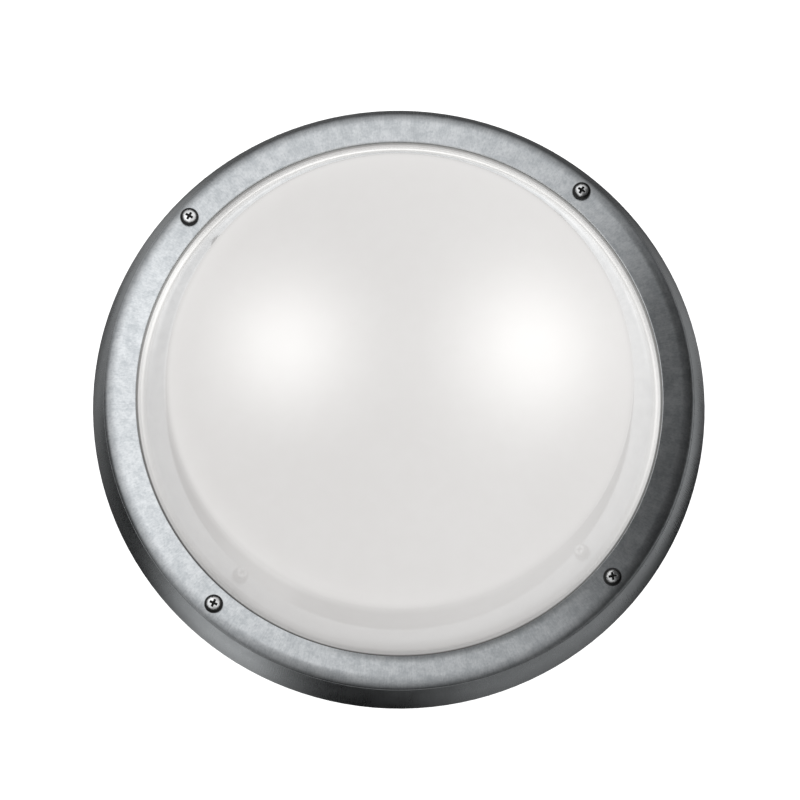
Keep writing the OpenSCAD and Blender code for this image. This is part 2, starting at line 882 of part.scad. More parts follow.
// Bowed spring contact at the bottom of a socket
module centre_contact(side) {
    rise = contact_h - contact_t;
    color("goldenrod")
    along_lamp(side, socket_y)
        translate([0, contact_w / 2, 0])
            rotate([90, 0, 0])
                linear_extrude(contact_w)
                    polygon([
                        [-contact_l / 2, 0],
                        [-tip_r - rise, 0],
                        [-tip_r + contact_t, rise],
                        [tip_r - contact_t, rise],
                        [tip_r + rise, 0],
                        [contact_l / 2, 0],
                        [contact_l / 2, contact_t],
                        [tip_r + rise, contact_t],
                        [tip_r - contact_t, contact_h],
                        [-tip_r + contact_t, contact_h],
                        [-tip_r - rise, contact_t],
                        [-contact_l / 2, contact_t]
                    ]);
}

module centre_contact_left() {
    centre_contact(-1);
}

module centre_contact_right() {
    centre_contact(1);
}

// Sealed lamp: contact, screw cap, neck and globe in one solid
module lamp(side) {
    color("white")
    along_lamp(side, lamp_end_y)
        rotate_extrude()
            union() {
                polygon([
                    [0, 0],
                    [tip_r, 0],
                    [tip_r, tip_l / 3],
                    [cap_r, tip_l],
                    [cap_r, neck_from],
                    [neck_r, neck_from],
                    tangent_at,
                    [0, tangent_at[1]]
                ]);
                intersection() {
                    translate([0, globe_at])
                        circle(globe_r);
                    translate([0, globe_at - globe_r])
                        square([globe_r, 2 * globe_r]);
                }
            }
}

module lamp_left() {
    lamp(-1);
}

module lamp_right() {
    lamp(1);
}

// Body of the three-pole terminal block
module terminal_block() {
    color("ivory")
    difference() {
        translate([-block_l / 2, -block_y - block_w / 2, tray_top])
            cube([block_l, block_w, block_h]);
        for (p = poles) {
            translate([p * pole_pitch, -block_y - block_w / 2 - cut, pole_z])
                rotate([-90, 0, 0])
                    cylinder(r = tube_r + fit_gap, h = block_w + 2 * cut);
            for (s = [-1, 1])
                translate([p * pole_pitch, -block_y + s * clamp_screw_y, pole_z])
                    cylinder(r = terminal_screw_r + 2 * fit_gap, h = block_h);
        }
        for (s = [-1, 1]) {
            translate([s * block_screw_at, -block_y, tray_top - cut])
                cylinder(r = m3_r + fit_gap, h = block_h + 2 * cut);
            translate([s * block_screw_at, -block_y, tray_top + block_h / 2])
                cylinder(r = m3_head_r + 2 * fit_gap, h = block_h);
        }
    }
}

// Brass tubes that grip the conductors
module terminal_tubes() {
    color("goldenrod")
    for (p = poles)
        translate([p * pole_pitch, -block_y - tube_l / 2, pole_z])
            rotate([-90, 0, 0])
                difference() {
                    cylinder(r = tube_r, h = tube_l);
                    translate([0, 0, -cut])
                        cylinder(r = tube_bore_r, h = tube_l + 2 * cut);
                }
}

// Grub screws of the terminals
module terminal_screws() {
    color("goldenrod")
    for (p = poles)
        for (s = [-1, 1])
            translate([p * pole_pitch, -block_y + s * clamp_screw_y, pole_z + tube_r])
                difference() {
                    cylinder(r = terminal_screw_r, h = terminal_screw_l);
                    translate([-2 * terminal_screw_r, -slot_w / 2, terminal_screw_l - slot_depth])
                        cube([4 * terminal_screw_r, slot_w, slot_depth + cut]);
                }
}

// Screws that hold the terminal block on the tray
module block_screws() {
    color("gainsboro")
    for (s = [-1, 1])
        translate([s * block_screw_at, -block_y, tray_top + block_h / 2])
            slotted_screw(m3_r, m3_head_r, m3_head_h, block_h / 2 + tray_t + pillar_h / 2);
}

// Clamp that grips the supply cable
module cable_clamp() {
    color("white")
    translate([0, -clamp_y + clamp_w / 2, tray_top])
        difference() {
            rotate([90, 0, 0])
                linear_extrude(clamp_w)
                    difference() {
                        union() {
                            translate([-clamp_foot_x, 0])
                                square([2 * clamp_foot_x, clamp_t]);
                            translate([0, clamp_arch_r])
                                circle(clamp_arch_r + clamp_t);
                        }
                        translate([0, clamp_arch_r])
                            circle(clamp_arch_r);
                        translate([-clamp_arch_r, -clamp_arch_r])
                            square([2 * clamp_arch_r, 2 * clamp_arch_r]);
                        translate([-clamp_foot_x, -2 * clamp_arch_r])
                            square([2 * clamp_foot_x, 2 * clamp_arch_r]);
                    }
            for (s = [-1, 1])
                translate([s * clamp_screw_x, -clamp_w / 2, -cut])
                    cylinder(r = m3_r + fit_gap, h = clamp_t + 2 * cut);
        }
}

// Screws of the cable clamp
module clamp_screws() {
    color("gainsboro")
    for (s = [-1, 1])
        translate([s * clamp_screw_x, -clamp_y, tray_top + clamp_t])
            slotted_screw(m3_r, m3_head_r, m3_head_h, clamp_t + tray_t + pillar_h / 2);
}

// Screw of the earth terminal
module earth_screw() {
    color("gold")
    translate([earth_p[0], earth_p[1], tray_top + washer_t + lug_t])
        slotted_screw(m4_r, m4_head_r, m4_head_h, washer_t + lug_t + tray_screw_l);
}

// Washer of the earth terminal
module earth_washer() {
    color("silver")
    translate([earth_p[0], earth_p[1], tray_top])
        difference() {
            cylinder(r = washer_r, h = washer_t);
            translate([0, 0, -cut])
                cylinder(r = m4_r + sheet_hole_gap, h = washer_t + 2 * cut);
        }
}

// Ring lug at the end of the earth wire
module earth_lug() {
    color("silver")
    difference() {
        union() {
            translate([earth_p[0], earth_p[1], tray_top + washer_t])
                cylinder(r = lug_r, h = lug_t);
            translate([earth_p[0] - lug_l - fit_gap, earth_p[1] - lug_w / 2, tray_top + washer_t])
                cube([lug_l, lug_w, lug_t]);
            translate([lug_end[0] - barrel_l / 2, lug_end[1], lug_z])
                rotate([0, 90, 0])
                    cylinder(r = barrel_r, h = barrel_l);
        }
        translate([earth_p[0], earth_p[1], tray_top])
            cylinder(r = m4_r + sheet_hole_gap, h = 3 * lug_t + washer_t);
        translate([lug_end[0] - barrel_l, lug_end[1], lug_z])
            rotate([0, 90, 0])
                cylinder(r = wire_r + 2 * fit_gap, h = 2 * barrel_l);
    }
}

// Wires from the terminal block to the lampholders and the earth lug
module line_wire_left() {
    color("saddlebrown")
        wire(holder_route(-1, -1, 1, 3, 0));
}

module line_wire_right() {
    color("saddlebrown")
        wire(holder_route(-1, 1, -1, 2, 1));
}

module neutral_wire_left() {
    color("royalblue")
        wire(holder_route(1, -1, -1, 6, 1));
}

module neutral_wire_right() {
    color("royalblue")
        wire(holder_route(1, 1, 1, 1, 0));
}

module earth_wire() {
    color("yellowgreen")
        wire(earth_route);
}

base_housing();
bezel_ring();
bezel_screws();
diffuser();
diffuser_gasket();
cable_grommet();
gear_tray();
tray_screws();
bracket_left();
bracket_right();
bracket_rivets();
lampholder_left();
lampholder_right();
holder_screws();
holder_shell_left();
holder_shell_right();
centre_contact_left();
centre_contact_right();
lamp_left();
lamp_right();
terminal_block();
terminal_tubes();
terminal_screws();
block_screws();
cable_clamp();
clamp_screws();
earth_screw();
earth_washer();
earth_lug();
line_wire_left();
line_wire_right();
neutral_wire_left();
neutral_wire_right();
earth_wire();
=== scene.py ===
"""Round bulkhead light: satin metal ring, opal diffuser, cast base and the gear inside."""

import math

import bpy
import numpy as np
from bpy.props import FloatProperty, FloatVectorProperty, IntProperty, PointerProperty
from bpy.types import NodeSocket, Operator, Panel, PropertyGroup
from mathutils import Matrix, Vector


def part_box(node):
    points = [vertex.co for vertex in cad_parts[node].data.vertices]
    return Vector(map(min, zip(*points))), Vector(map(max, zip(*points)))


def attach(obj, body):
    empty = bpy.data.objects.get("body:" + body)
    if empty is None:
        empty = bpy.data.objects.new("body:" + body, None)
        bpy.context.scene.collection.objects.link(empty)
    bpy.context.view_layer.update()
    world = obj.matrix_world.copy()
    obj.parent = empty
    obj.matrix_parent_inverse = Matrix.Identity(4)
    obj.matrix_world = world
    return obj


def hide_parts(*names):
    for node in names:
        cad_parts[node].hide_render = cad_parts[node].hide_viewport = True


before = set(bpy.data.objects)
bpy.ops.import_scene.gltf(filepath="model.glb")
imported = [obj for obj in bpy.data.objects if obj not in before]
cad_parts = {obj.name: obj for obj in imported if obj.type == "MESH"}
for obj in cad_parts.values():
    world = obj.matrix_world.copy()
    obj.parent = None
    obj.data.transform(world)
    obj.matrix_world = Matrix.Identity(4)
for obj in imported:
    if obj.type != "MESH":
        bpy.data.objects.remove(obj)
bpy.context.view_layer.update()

bl_info = {
    "name": "Bulkhead Light",
    "version": (1, 0, 0),
    "blender": (4, 5, 0),
    "location": "View3D > Sidebar > Bulkhead Light",
    "description": "Makes the visible pieces, finishes and stage of a round bulkhead light",
    "category": "Object",
}

MM = 0.001
QUARTER = math.pi / 2.0
BODY = "root"

RING_LOW, RING_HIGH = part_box("bezel_ring")
BOWL_LOW, BOWL_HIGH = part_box("diffuser")
SCREW_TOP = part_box("bezel_screws")[1][2]
HEAD_HEIGHT = 3.7 * MM

# How many times each turned piece is divided round its axis.
RING_COLUMNS, BOWL_COLUMNS, SCREW_COLUMNS = 360, 320, 168


def length(name, about, default):
    """A size in metres for the panel."""
    return FloatProperty(name=name, description=about, default=default, min=0.0,
                         precision=5, unit="LENGTH", subtype="DISTANCE")


def angle(name, about, degrees):
    """An angle for the panel."""
    return FloatProperty(name=name, description=about, default=math.radians(degrees),
                         unit="ROTATION", subtype="ANGLE")


def colour(name, about, default):
    """A colour for the panel, in linear light."""
    return FloatVectorProperty(name=name, description=about, default=default, size=3,
                               min=0.0, max=1.0, subtype="COLOR")


def number(name, about, default):
    """A plain number for the panel."""
    return FloatProperty(name=name, description=about, default=default, precision=4)


class RingSettings(PropertyGroup):
    """Sizes of the bezel ring."""

    outer: length("Outer radius", "Radius the rounded edge would reach", 158.6 * MM)
    opening: length("Opening radius", "Radius of the opening for the diffuser", 141.0 * MM)
    foot: length("Foot height", "Height of the ring's foot on the base", RING_LOW[2])
    under: length("Underside height", "Height of the face that clamps the diffuser", 23.0 * MM)
    top: length("Top height", "Height of the ring at its opening", RING_HIGH[2])
    slope: angle("Face slope", "Outward fall of the face", 1.5)
    edge: length("Outer edge radius", "Radius of the rounded outer edge", 7.6 * MM)
    inner: length("Inner edge radius", "Radius of the inner edge", 0.2 * MM)
    skirt: length("Skirt thickness", "Thickness of the outer skirt", 3.0 * MM)
    # Height of the painted shade on the ring over its joint with the base.
    painted_shade: length("Painted shade", "Height of the stain over the joint with the base", 1.7 * MM)
    break_r: length("Edge break", "Radius that breaks the sharp edges", 0.25 * MM)


class BowlSettings(PropertyGroup):
    """Sizes and light of the opal diffuser."""

    root: length("Root radius", "Radius of the wall at the root height", 138.6 * MM)
    root_z: length("Root height", "Height at which the root radius holds", 23.0 * MM)
    flange_top: length("Flange top", "Height of the top of the flange", 22.4 * MM)
    flange: length("Flange radius", "Radius of the flange", BOWL_HIGH[0])
    flange_z: length("Flange underside", "Height of the underside of the flange", BOWL_LOW[2])
    lean: angle("Wall lean", "Inward lean of the wall", 19.322)
    rim: length("Rim radius", "Radius where wall and face would meet", 121.7 * MM)
    rim_z: length("Rim height", "Height where wall and face would meet", 71.2 * MM)
    crown_z: length("Crown height", "Height of the middle of the face", BOWL_HIGH[2])
    shoulder: length("Shoulder radius", "Radius between wall and face", 7.0 * MM)
    thick: length("Thickness", "Thickness of the wall", 3.0 * MM)
    root_fillet: length("Root fillet", "Radius between wall and flange", 2.6 * MM)
    break_r: length("Edge break", "Radius that breaks the edges of the flange", 0.3 * MM)
    lamp_left: FloatVectorProperty(
        name="Left glow", description="Place of the left lamp's glow", size=3,
        default=(-60.9 * MM, 17.3 * MM, 0.0), precision=5, subtype="TRANSLATION")
    lamp_right: FloatVectorProperty(
        name="Right glow", description="Place of the right lamp's glow", size=3,
        default=(69.2 * MM, 16.2 * MM, 0.0), precision=5, subtype="TRANSLATION")
    spread_left: length("Left spread", "Spread of the left glow", 26.0 * MM)
    spread_right: length("Right spread", "Spread of the right glow", 29.0 * MM)
    glow: number("Glow", "Light at the middle of each glow", 0.26)
    foot: number("Foot light", "Light that the ring throws on the foot of the wall", 0.22)
    wall: number("Wall light", "Light that comes through the upper part of the wall", 0.16)
    upper: number("Upper light", "Light that comes through the wall at the top", 0.25)
    edge: number("Edge light", "Light that the shoulder gathers", 0.07)
    # Painted glow in the seam, unseen by the eye, which the wall mirrors.
    seam_glow: number("Seam light", "Light from the seam that the wall mirrors", 0.4)
    even_light: number("Even light", "Light that comes through the bowl evenly", 0.05)
    lean_light: FloatVectorProperty(
        name="Leaning light", description="Change of the even light per metre", size=3,
        default=(0.30, 0.08, 0.0), subtype="XYZ")


class ScrewSettings(PropertyGroup):
    """Sizes of the bezel screws."""

    count: IntProperty(name="Count", description="Number of screws", default=4, min=1)
    circle: length("Circle radius", "Radius of the circle of screws", 149.8 * MM)
    first: angle("First angle", "Angle of the first screw", 49.0)
    seat: length("Seat height", "Height of the seat of the heads", SCREW_TOP - HEAD_HEIGHT)
    head: length("Head radius", "Radius of a head", 5.0 * MM)
    height: length("Head height", "Height of a head", HEAD_HEIGHT)
    crown: length("Crown radius", "Radius of the top of a head", 8.0 * MM)
    crown_edge: length("Crown edge", "Radius where the crown turns down", 3.75 * MM)
    break_r: length("Edge break", "Radius that breaks the lower edge of a head", 0.2 * MM)
    shank: length("Shank radius", "Radius of the thread", 2.5 * MM)
    shank_l: length("Shank length", "Length below the head", 14.0 * MM)
    tip: length("Tip", "Chamfer at the tip of the shank", 0.8 * MM)
    recess: length("Recess length", "Length of the cross recess", 4.2 * MM)
    recess_w: length("Recess width", "Width of an arm of the recess", 1.15 * MM)
    recess_d: length("Recess depth", "Depth of the recess at its middle", 2.0 * MM)
    recess_edge: length("Recess edge", "Width of the soft edge of the recess", 0.3 * MM)
    # Where the painted shade of a head's rim starts.
    rim: number("Rim", "Share of the head's radius where its dark rim starts", 0.38)
    turns: FloatVectorProperty(
        name="Recess turns", description="How far each recess is turned", size=4,
        default=tuple(math.radians(d) for d in (58.0, 60.0, 65.0, 10.0)), unit="ROTATION")


class FinishSettings(PropertyGroup):
    """Colours of the visible finishes."""

    metal: colour("Ring metal", "Colour of the satin ring", (0.73, 0.752, 0.77))
    metal_dark: colour("Ring shade", "Darker patches of the ring", (0.46, 0.488, 0.51))
    cast: colour("Base metal", "Colour of the cast base", (0.56, 0.585, 0.60))
    cast_dark: colour("Base shade", "Darker patches of the base", (0.48, 0.50, 0.515))
    # Colour of the painted shade on the ring by its joint and opening, and on the base towards
    # the wall.
    painted_shade: colour("Painted shade", "Colour of the stain on the ring and the base", (0.02, 0.02, 0.02))
    steel: colour("Plated steel", "Colour of the plated steel inside", (0.66, 0.67, 0.68))
    crown: colour("Screw crown", "Colour of the crowns of the screws", (0.90, 0.91, 0.92))
    # Colour of the painted shade on the screws' rims, lower sides and recesses.
    grime: colour("Shading", "Colour of the grime on the screws", (0.035, 0.035, 0.035))
    opal: colour("Opal", "Colour of the diffuser", (0.80, 0.785, 0.775))
    opal_dark: colour("Opal shade", "Slightly darker clouds in the opal", (0.785, 0.768, 0.757))
    # Colour of the painted shade in the seam, seen only by the eye.
    seam: colour("Seam", "Colour of the dirt in the seam", (0.06, 0.06, 0.06))
    glow: colour("Glow", "Colour of the lamps' glow", (1.0, 1.0, 0.985))


class StageSettings(PropertyGroup):
    """Camera and light."""

    tilt: angle("Camera tilt", "Tilt of the camera from the light's axis", 12.42)
    heading: angle("Tilt heading", "Direction of the tilt in the image", 87.8)
    distance: length("Distance", "Distance of the camera from the ring", 2.64)
    lens: number("Lens", "Focal length in millimetres", 222.3)
    sensor: number("Sensor", "Width of the camera's sensor in millimetres", 36.0)
    aim_x: number("Aim across", "Offset of the light across the image in metres", -0.00035)
    aim_y: number("Aim up", "Offset of the light up the image in metres", 0.0023)
    fill: number("Fill", "Level of the soft light all round", 0.77)
    fill_lean: FloatVectorProperty(
        name="Fill lean", description="How far the soft light leans right, up and forward",
        size=3, default=(0.03, 0.02, 0.14), subtype="XYZ")
    bounce: number("Bounce", "Level that the ring passes on to the diffuser's wall", 1.2)
    card_rise: length("Card height", "Height of the graded card over the wall", 0.150)
    card_reach: length("Card reach", "How far the card reaches to each side", 0.45)
    card_middle: number("Card middle", "Level of the card over the diffuser", 0.8)
    floor: colour("Floor", "Colour of the floor", (0.93, 0.93, 0.93))
    floor_drop: length("Floor drop", "How far the floor lies behind the light", 0.5 * MM)
    floor_reach: length("Floor reach", "How far the floor reaches to each side", 6.0)


SETTINGS = {
    "bulkhead_ring": RingSettings,
    "bulkhead_bowl": BowlSettings,
    "bulkhead_screws": ScrewSettings,
    "bulkhead_finish": FinishSettings,
    "bulkhead_stage": StageSettings,
}


def arc(centre, radius, start, end, steps):
    """Points on a circle about a centre, evenly spaced from one angle to another."""
    a = np.linspace(start, end, steps)
    return np.column_stack((centre[0] + radius * np.cos(a), centre[1] + radius * np.sin(a)))


def line(start, end, steps):
    """Points evenly spaced on a straight line, without its two ends."""
    t = np.linspace(0.0, 1.0, steps + 2)[1:-1, None]
    return np.asarray(start) * (1.0 - t) + np.asarray(end) * t


def angles_round(columns):
    """Angles evenly spaced round an axis, as one row."""
    return np.linspace(0.0, 2.0 * np.pi, columns, endpoint=False)[None, :]


def carried_round(profile, columns):
    """A profile carried round Z: (r, z) at angle a becomes (r cos a, r sin a, z)."""
    a = angles_round(columns)
    r, z = profile[:, :1], profile[:, 1:]
    return np.stack((r * np.cos(a), r * np.sin(a), np.broadcast_to(z, (len(r), columns))), -1)


def grid_faces(rows, columns, closed):
    """Quads of a grid whose columns run right round, and whose rows do where it is closed."""
    i = np.arange(rows if closed else rows - 1)[:, None]
    j = np.arange(columns)[None, :]
    below, beside = (i + 1) % rows, (j + 1) % columns
    quads = (i * columns + j, below * columns + j, below * columns + beside, i * columns + beside)
    return np.stack(np.broadcast_arrays(*quads), axis=-1).reshape(-1, 4)


def turned_ring(profile, columns):
    """Points and faces of a closed profile carried round Z."""
    points = carried_round(profile, columns).reshape(-1, 3)
    return points, grid_faces(len(profile), columns, True).tolist()


def capped(side, first_z, last_z, centre=(0.0, 0.0)):
    """Points and faces of a grid of rings, closed by one point before and one after it."""
    count, columns = side.shape[:2]
    poles = np.array([[*centre, first_z], [*centre, last_z]])
    points = np.vstack((side.reshape(-1, 3), poles))
    j = np.arange(columns)
    beside = (j + 1) % columns
    first, last = count * columns, count * columns + 1
    top = np.column_stack((np.full(columns, first), j, beside))
    foot = (count - 1) * columns
    bottom = np.column_stack((np.full(columns, last), foot + beside, foot + j))
    faces = grid_faces(count, columns, False).tolist() + top.tolist() + bottom.tolist()
    return points, faces


def turned_solid(profile, columns):
    """A profile from pole to pole carried round Z, with a fan of triangles at each pole."""
    return capped(carried_round(profile[1:-1], columns), profile[0, 1], profile[-1, 1])


def new_piece(name, points, faces, material, nodes, crease=40.0):
    """Puts points and faces into a smooth mesh at the origin and ties it to the frame."""
    mesh = bpy.data.meshes.new(name)
    mesh.from_pydata(points.tolist(), [], faces)
    mesh.validate()
    mesh.shade_smooth()
    mesh.set_sharp_from_angle(angle=math.radians(crease))
    mesh.materials.append(material)
    piece = bpy.data.objects.new(name, mesh)
    bpy.context.scene.collection.objects.link(piece)
    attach(piece, BODY)
    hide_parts(*nodes)
    return piece


def ring_profile(s):
    """Section of the ring, anticlockwise: foot, outer edge, face, inner edge, underside, skirt.

    The inner edge and the outer edge are arcs that touch the sloping face, and the outer
    arc is cut off where it meets the foot.
    """
    slope, b = s.slope, s.break_r
    edge_c = np.array((s.outer - s.edge, 0.0))
    run = edge_c[0] - s.opening
    edge_c[1] = s.top - run * math.tan(slope) - s.edge / math.cos(slope)
    inner_c = (s.opening + s.inner,
               s.top - s.inner * (1.0 / math.cos(slope) + math.tan(slope)))
    face = QUARTER - slope
    foot = math.asin((s.foot + b - edge_c[1]) / s.edge)
    outer_arc = arc(edge_c, s.edge, foot, face, 40)
    inner_arc = arc(inner_c, s.inner, face, math.pi, 18)
    foot_arc = arc((outer_arc[0, 0] - b, s.foot + b), b, -QUARTER, 0.0, 6)
    under_arc = arc((s.opening + b, s.under + b), b, math.pi, 3.0 * QUARTER, 6)
    skirt_r = s.outer - s.skirt
    skirt_top = np.array([[skirt_r, s.under]])
    skirt_foot = arc((skirt_r + b, s.foot + b), b, math.pi, 3.0 * QUARTER, 6)
    return np.vstack((
        foot_arc, outer_arc, line(outer_arc[-1], inner_arc[0], 10), inner_arc,
        under_arc, line(under_arc[-1], skirt_top[0], 4), skirt_top,
        line(skirt_top[0], skirt_foot[0], 2), skirt_foot,
    ))


def bowl_skin(s, inset, steps):
    """One skin of the bowl from the apex down: crown sphere, shoulder arc and leaning wall.

    Both skins share their centres, so the inner one is the outer one drawn in by the inset.
    """
    rise = s.crown_z - s.rim_z
    crown_r = (s.rim ** 2 + rise ** 2) / (2.0 * rise)
    crown_c = np.array((0.0, s.crown_z - crown_r))
    up = np.array((-math.sin(s.lean), math.cos(s.lean)))
    inward = np.array((-math.cos(s.lean), -math.sin(s.lean)))
    foot = np.array((s.root, s.root_z))
    p = foot + s.shoulder * inward - crown_c
    b = p @ up
    k = -b + math.sqrt(b * b - (p @ p - (crown_r - s.shoulder) ** 2))
    shoulder_c = crown_c + p + k * up
    face_dir = shoulder_c - crown_c
    face_angle = math.atan2(face_dir[1], face_dir[0])
    wall_angle = math.atan2(-inward[1], -inward[0])
    face = arc(crown_c, crown_r - inset, QUARTER, face_angle, steps)
    shoulder = arc(shoulder_c, s.shoulder - inset, face_angle, wall_angle, 24)
    return face, shoulder, foot + inset * inward


def bowl_profile(s):
    """Section of the diffuser from the outer apex round the flange to the inner apex."""
    face, shoulder, foot = bowl_skin(s, 0.0, 60)
    inner_face, inner_shoulder, inner_foot = bowl_skin(s, s.thick, 40)
    f, b, tan = s.root_fillet, s.break_r, math.tan(s.lean)
    corner = foot[0] + (s.root_z - s.flange_top) * tan
    touch = f * math.tan((QUARTER - s.lean) / 2.0)
    fillet = arc((corner + touch, s.flange_top + f), f, math.pi + s.lean, 3.0 * QUARTER, 8)
    top_edge = arc((s.flange - b, s.flange_top - b), b, QUARTER, 0.0, 5)
    low_edge = arc((s.flange - b, s.flange_z + b), b, 0.0, -QUARTER, 5)
    inner_low = np.array([[inner_foot[0] + tan * (inner_foot[1] - s.flange_z), s.flange_z]])
    profile = np.vstack((
        face, shoulder[1:], line(shoulder[-1], fillet[0], 24), fillet,
        line(fillet[-1], top_edge[0], 2), top_edge, low_edge, inner_low,
        line(inner_low[0], inner_shoulder[-1], 12), inner_shoulder[::-1], inner_face[-2::-1],
    ))
    profile[0, 0] = profile[-1, 0] = 0.0
    return profile


def screw_outline(s):
    """Half outline of a screw from the crown's middle over the head and down the shank.

    The crown is part of a sphere, a smaller arc turns it down to the upright side, and the
    shank ends in a chamfer. The number of points on the crown comes with it.
    """
    turn = math.asin(s.crown_edge / s.crown)
    crown = arc((0.0, s.height - s.crown), s.crown, QUARTER, QUARTER - turn, 54)
    round_r = (s.head - s.crown_edge) / (1.0 - math.sin(turn))
    round_c = (s.head - round_r, crown[-1, 1] - round_r * math.cos(turn))
    edge = arc(round_c, round_r, QUARTER - turn, 0.0, 18)
    low = arc((s.head - s.break_r, s.break_r), s.break_r, 0.0, -QUARTER, 4)
    shank = np.array([
        [s.shank, 0.0], [s.shank, s.tip - s.shank_l], [s.shank - s.tip, -s.shank_l],
        [0.0, -s.shank_l],
    ])
    return np.vstack((crown, edge[1:], low, shank)), len(crown)


def screw_points(s, centre, turn):
    """Surface of one screw: its outline turned about its axis, with the cross pressed in.

    The recess is as deep as a smooth step of the distance inside the cross, and half as
    deep at the tips of its arms. Painted shade grows out to the rim and covers the lower side and
    the recess.
    """
    outline, crown_rows = screw_outline(s)
    a = angles_round(SCREW_COLUMNS)
    r, z = outline[1:-1, :1], outline[1:-1, 1:]
    x, y = np.abs(r * np.cos(a - turn)), np.abs(r * np.sin(a - turn))
    along, beside = np.maximum(x, y), np.minimum(x, y)
    reach = np.clip(along / (s.recess / 2.0), 0.0, 1.0)
    inside = np.minimum(s.recess_w / 2.0 - beside, s.recess / 2.0 - along)
    step = np.clip(inside / s.recess_edge + 0.4, 0.0, 1.0)
    press = s.recess_d * step * step * (3.0 - 2.0 * step) * (1.0 - 0.5 * reach)
    press[crown_rows - 1:] = 0.0
    side = np.stack((centre[0] + r * np.cos(a), centre[1] + r * np.sin(a),
                     s.seat + z - press), -1)
    # Painted shade: from the rim share out to the edge, full on the lower half of the head and
    # the shank, and in the recess.
    rim = np.clip((r / s.head - s.rim) / (1.0 - s.rim), 0.0, 1.0) + (z < 0.5 * s.height)
    grime = np.clip(np.maximum(rim, press / s.recess_d * 1.6), 0.0, 1.0)
    points, faces = capped(side, s.seat + outline[0, 1] - s.recess_d,
                           s.seat + outline[-1, 1], centre)
    return points, faces, np.append(grime.ravel(), (1.0, 1.0))


class Nodes:
    """Short way to add and link nodes in one tree."""

    def __init__(self, tree):
        self.tree = tree
        self.link = tree.links.new

    def add(self, kind, inputs=None, **settings):
        """Adds a node, sets its settings, and fills each input with a value or a link."""
        node = self.tree.nodes.new(kind)
        for key, value in settings.items():
            setattr(node, key, value)
        for key, value in (inputs or {}).items():
            if isinstance(value, NodeSocket):
                self.link(value, node.inputs[key])
            else:
                node.inputs[key].default_value = value
        return node

    def math(self, operation, first, second=0.5, third=0.0):
        """A math node's result."""
        node = self.add("ShaderNodeMath", {0: first, 1: second, 2: third}, operation=operation)
        return node.outputs[0]

    def product(self, first, *others):
        """Values multiplied with each other."""
        for other in others:
            first = self.math("MULTIPLY", first, other)
        return first

    def total(self, first, *others):
        """Values added up."""
        for other in others:
            first = self.math("ADD", first, other)
        return first

    def rest(self, share):
        """What a share leaves of one."""
        return self.math("SUBTRACT", 1.0, share)

    def split(self, vector):
        """The three parts of a vector."""
        return self.add("ShaderNodeSeparateXYZ", {0: vector}).outputs[:3]

    def flat(self, vector):
        """A vector without its height."""
        return self.add("ShaderNodeVectorMath", {0: vector, 1: (1.0, 1.0, 0.0)},
                        operation="MULTIPLY").outputs[0]

    def size(self, vector):
        """The length of a vector."""
        return self.add("ShaderNodeVectorMath", {0: vector}, operation="LENGTH").outputs["Value"]

    def dot(self, first, second):
        """The dot product of two vectors."""
        node = self.add("ShaderNodeVectorMath", {0: first, 1: second}, operation="DOT_PRODUCT")
        return node.outputs["Value"]

    def towards(self, where, degrees):
        """How far a place lies towards an angle round Z."""
        turn = math.radians(degrees)
        return self.dot(where, (math.cos(turn), math.sin(turn), 0.0))

    def noise(self, vector, scale, detail=3.0, roughness=0.55):
        """A noise texture's value."""
        node = self.add("ShaderNodeTexNoise", {
            "Vector": vector, "Scale": scale, "Detail": detail, "Roughness": roughness})
        return node.outputs["Fac"]

    def span(self, value, low, high, to_low=0.0, to_high=1.0):
        """A value carried smoothly from one range to another."""
        node = self.add("ShaderNodeMapRange", {
            "Value": value, "From Min": low, "From Max": high,
            "To Min": to_low, "To Max": to_high}, interpolation_type="SMOOTHSTEP")
        return node.outputs["Result"]

    def mix(self, factor, first, second):
        """A mix of two values."""
        return self.add("ShaderNodeMix", {0: factor, 2: first, 3: second}).outputs[0]

    def blend(self, factor, *ends):
        """A mix of two colours, each a link or plain red, green and blue."""
        first, second = (end if isinstance(end, NodeSocket) else (*end, 1.0) for end in ends)
        node = self.add("ShaderNodeMix", {0: factor, 6: first, 7: second}, data_type="RGBA")
        return node.outputs[2]

    def ramp(self, value, stops):
        """A value read off a smooth curve through stops of place and level."""
        node = self.add("ShaderNodeValToRGB", {"Fac": value})
        ramp = node.color_ramp
        ramp.interpolation = "EASE"
        for place, level in stops[1:-1]:
            ramp.elements.new(place).color = (level, level, level, 1.0)
        for element, (place, level) in zip((ramp.elements[0], ramp.elements[-1]),
                                           (stops[0], stops[-1])):
            element.position = place
            element.color = (level, level, level, 1.0)
        return node.outputs["Color"]

    def group(self, name, **inputs):
        """What a shared node group puts out with its inputs filled in."""
        return self.add("ShaderNodeGroup", inputs, node_tree=shared(name)).outputs[0]


VECTOR, VALUE = "NodeSocketVector", "NodeSocketFloat"


def new_group(name, inputs, output):
    """An empty shader node group with named inputs and one named value that it puts out."""
    tree = bpy.data.node_groups.new(name, "ShaderNodeTree")
    for label, kind in inputs.items():
        tree.interface.new_socket(label, in_out="INPUT", socket_type=kind)
    tree.interface.new_socket(output, in_out="OUTPUT", socket_type=VALUE)
    n = Nodes(tree)
    return n, n.add("NodeGroupInput").outputs, n.add("NodeGroupOutput").inputs[output]


def turned_grain_group():
    """Fine lines that follow the lathe: noise on the direction from the axis and the radius."""
    n, inp, out = new_group(
        "Turned grain", {"Vector": VECTOR, "Streak": VALUE, "Pitch": VALUE}, "Grain")
    flat = n.flat(inp["Vector"])
    way = n.add("ShaderNodeVectorMath", {0: flat}, operation="NORMALIZE").outputs[0]
    drawn = n.add("ShaderNodeVectorMath", {0: way, "Scale": inp["Streak"]},
                  operation="SCALE").outputs[0]
    x, y, _ = n.split(drawn)
    height = n.split(inp["Vector"])[2]
    across = n.product(n.total(n.size(flat), height), inp["Pitch"])
    lines = n.add("ShaderNodeCombineXYZ", {"X": x, "Y": y, "Z": across}).outputs[0]
    n.link(n.noise(lines, 1.0, 4.0, 0.6), out)
    return n.tree


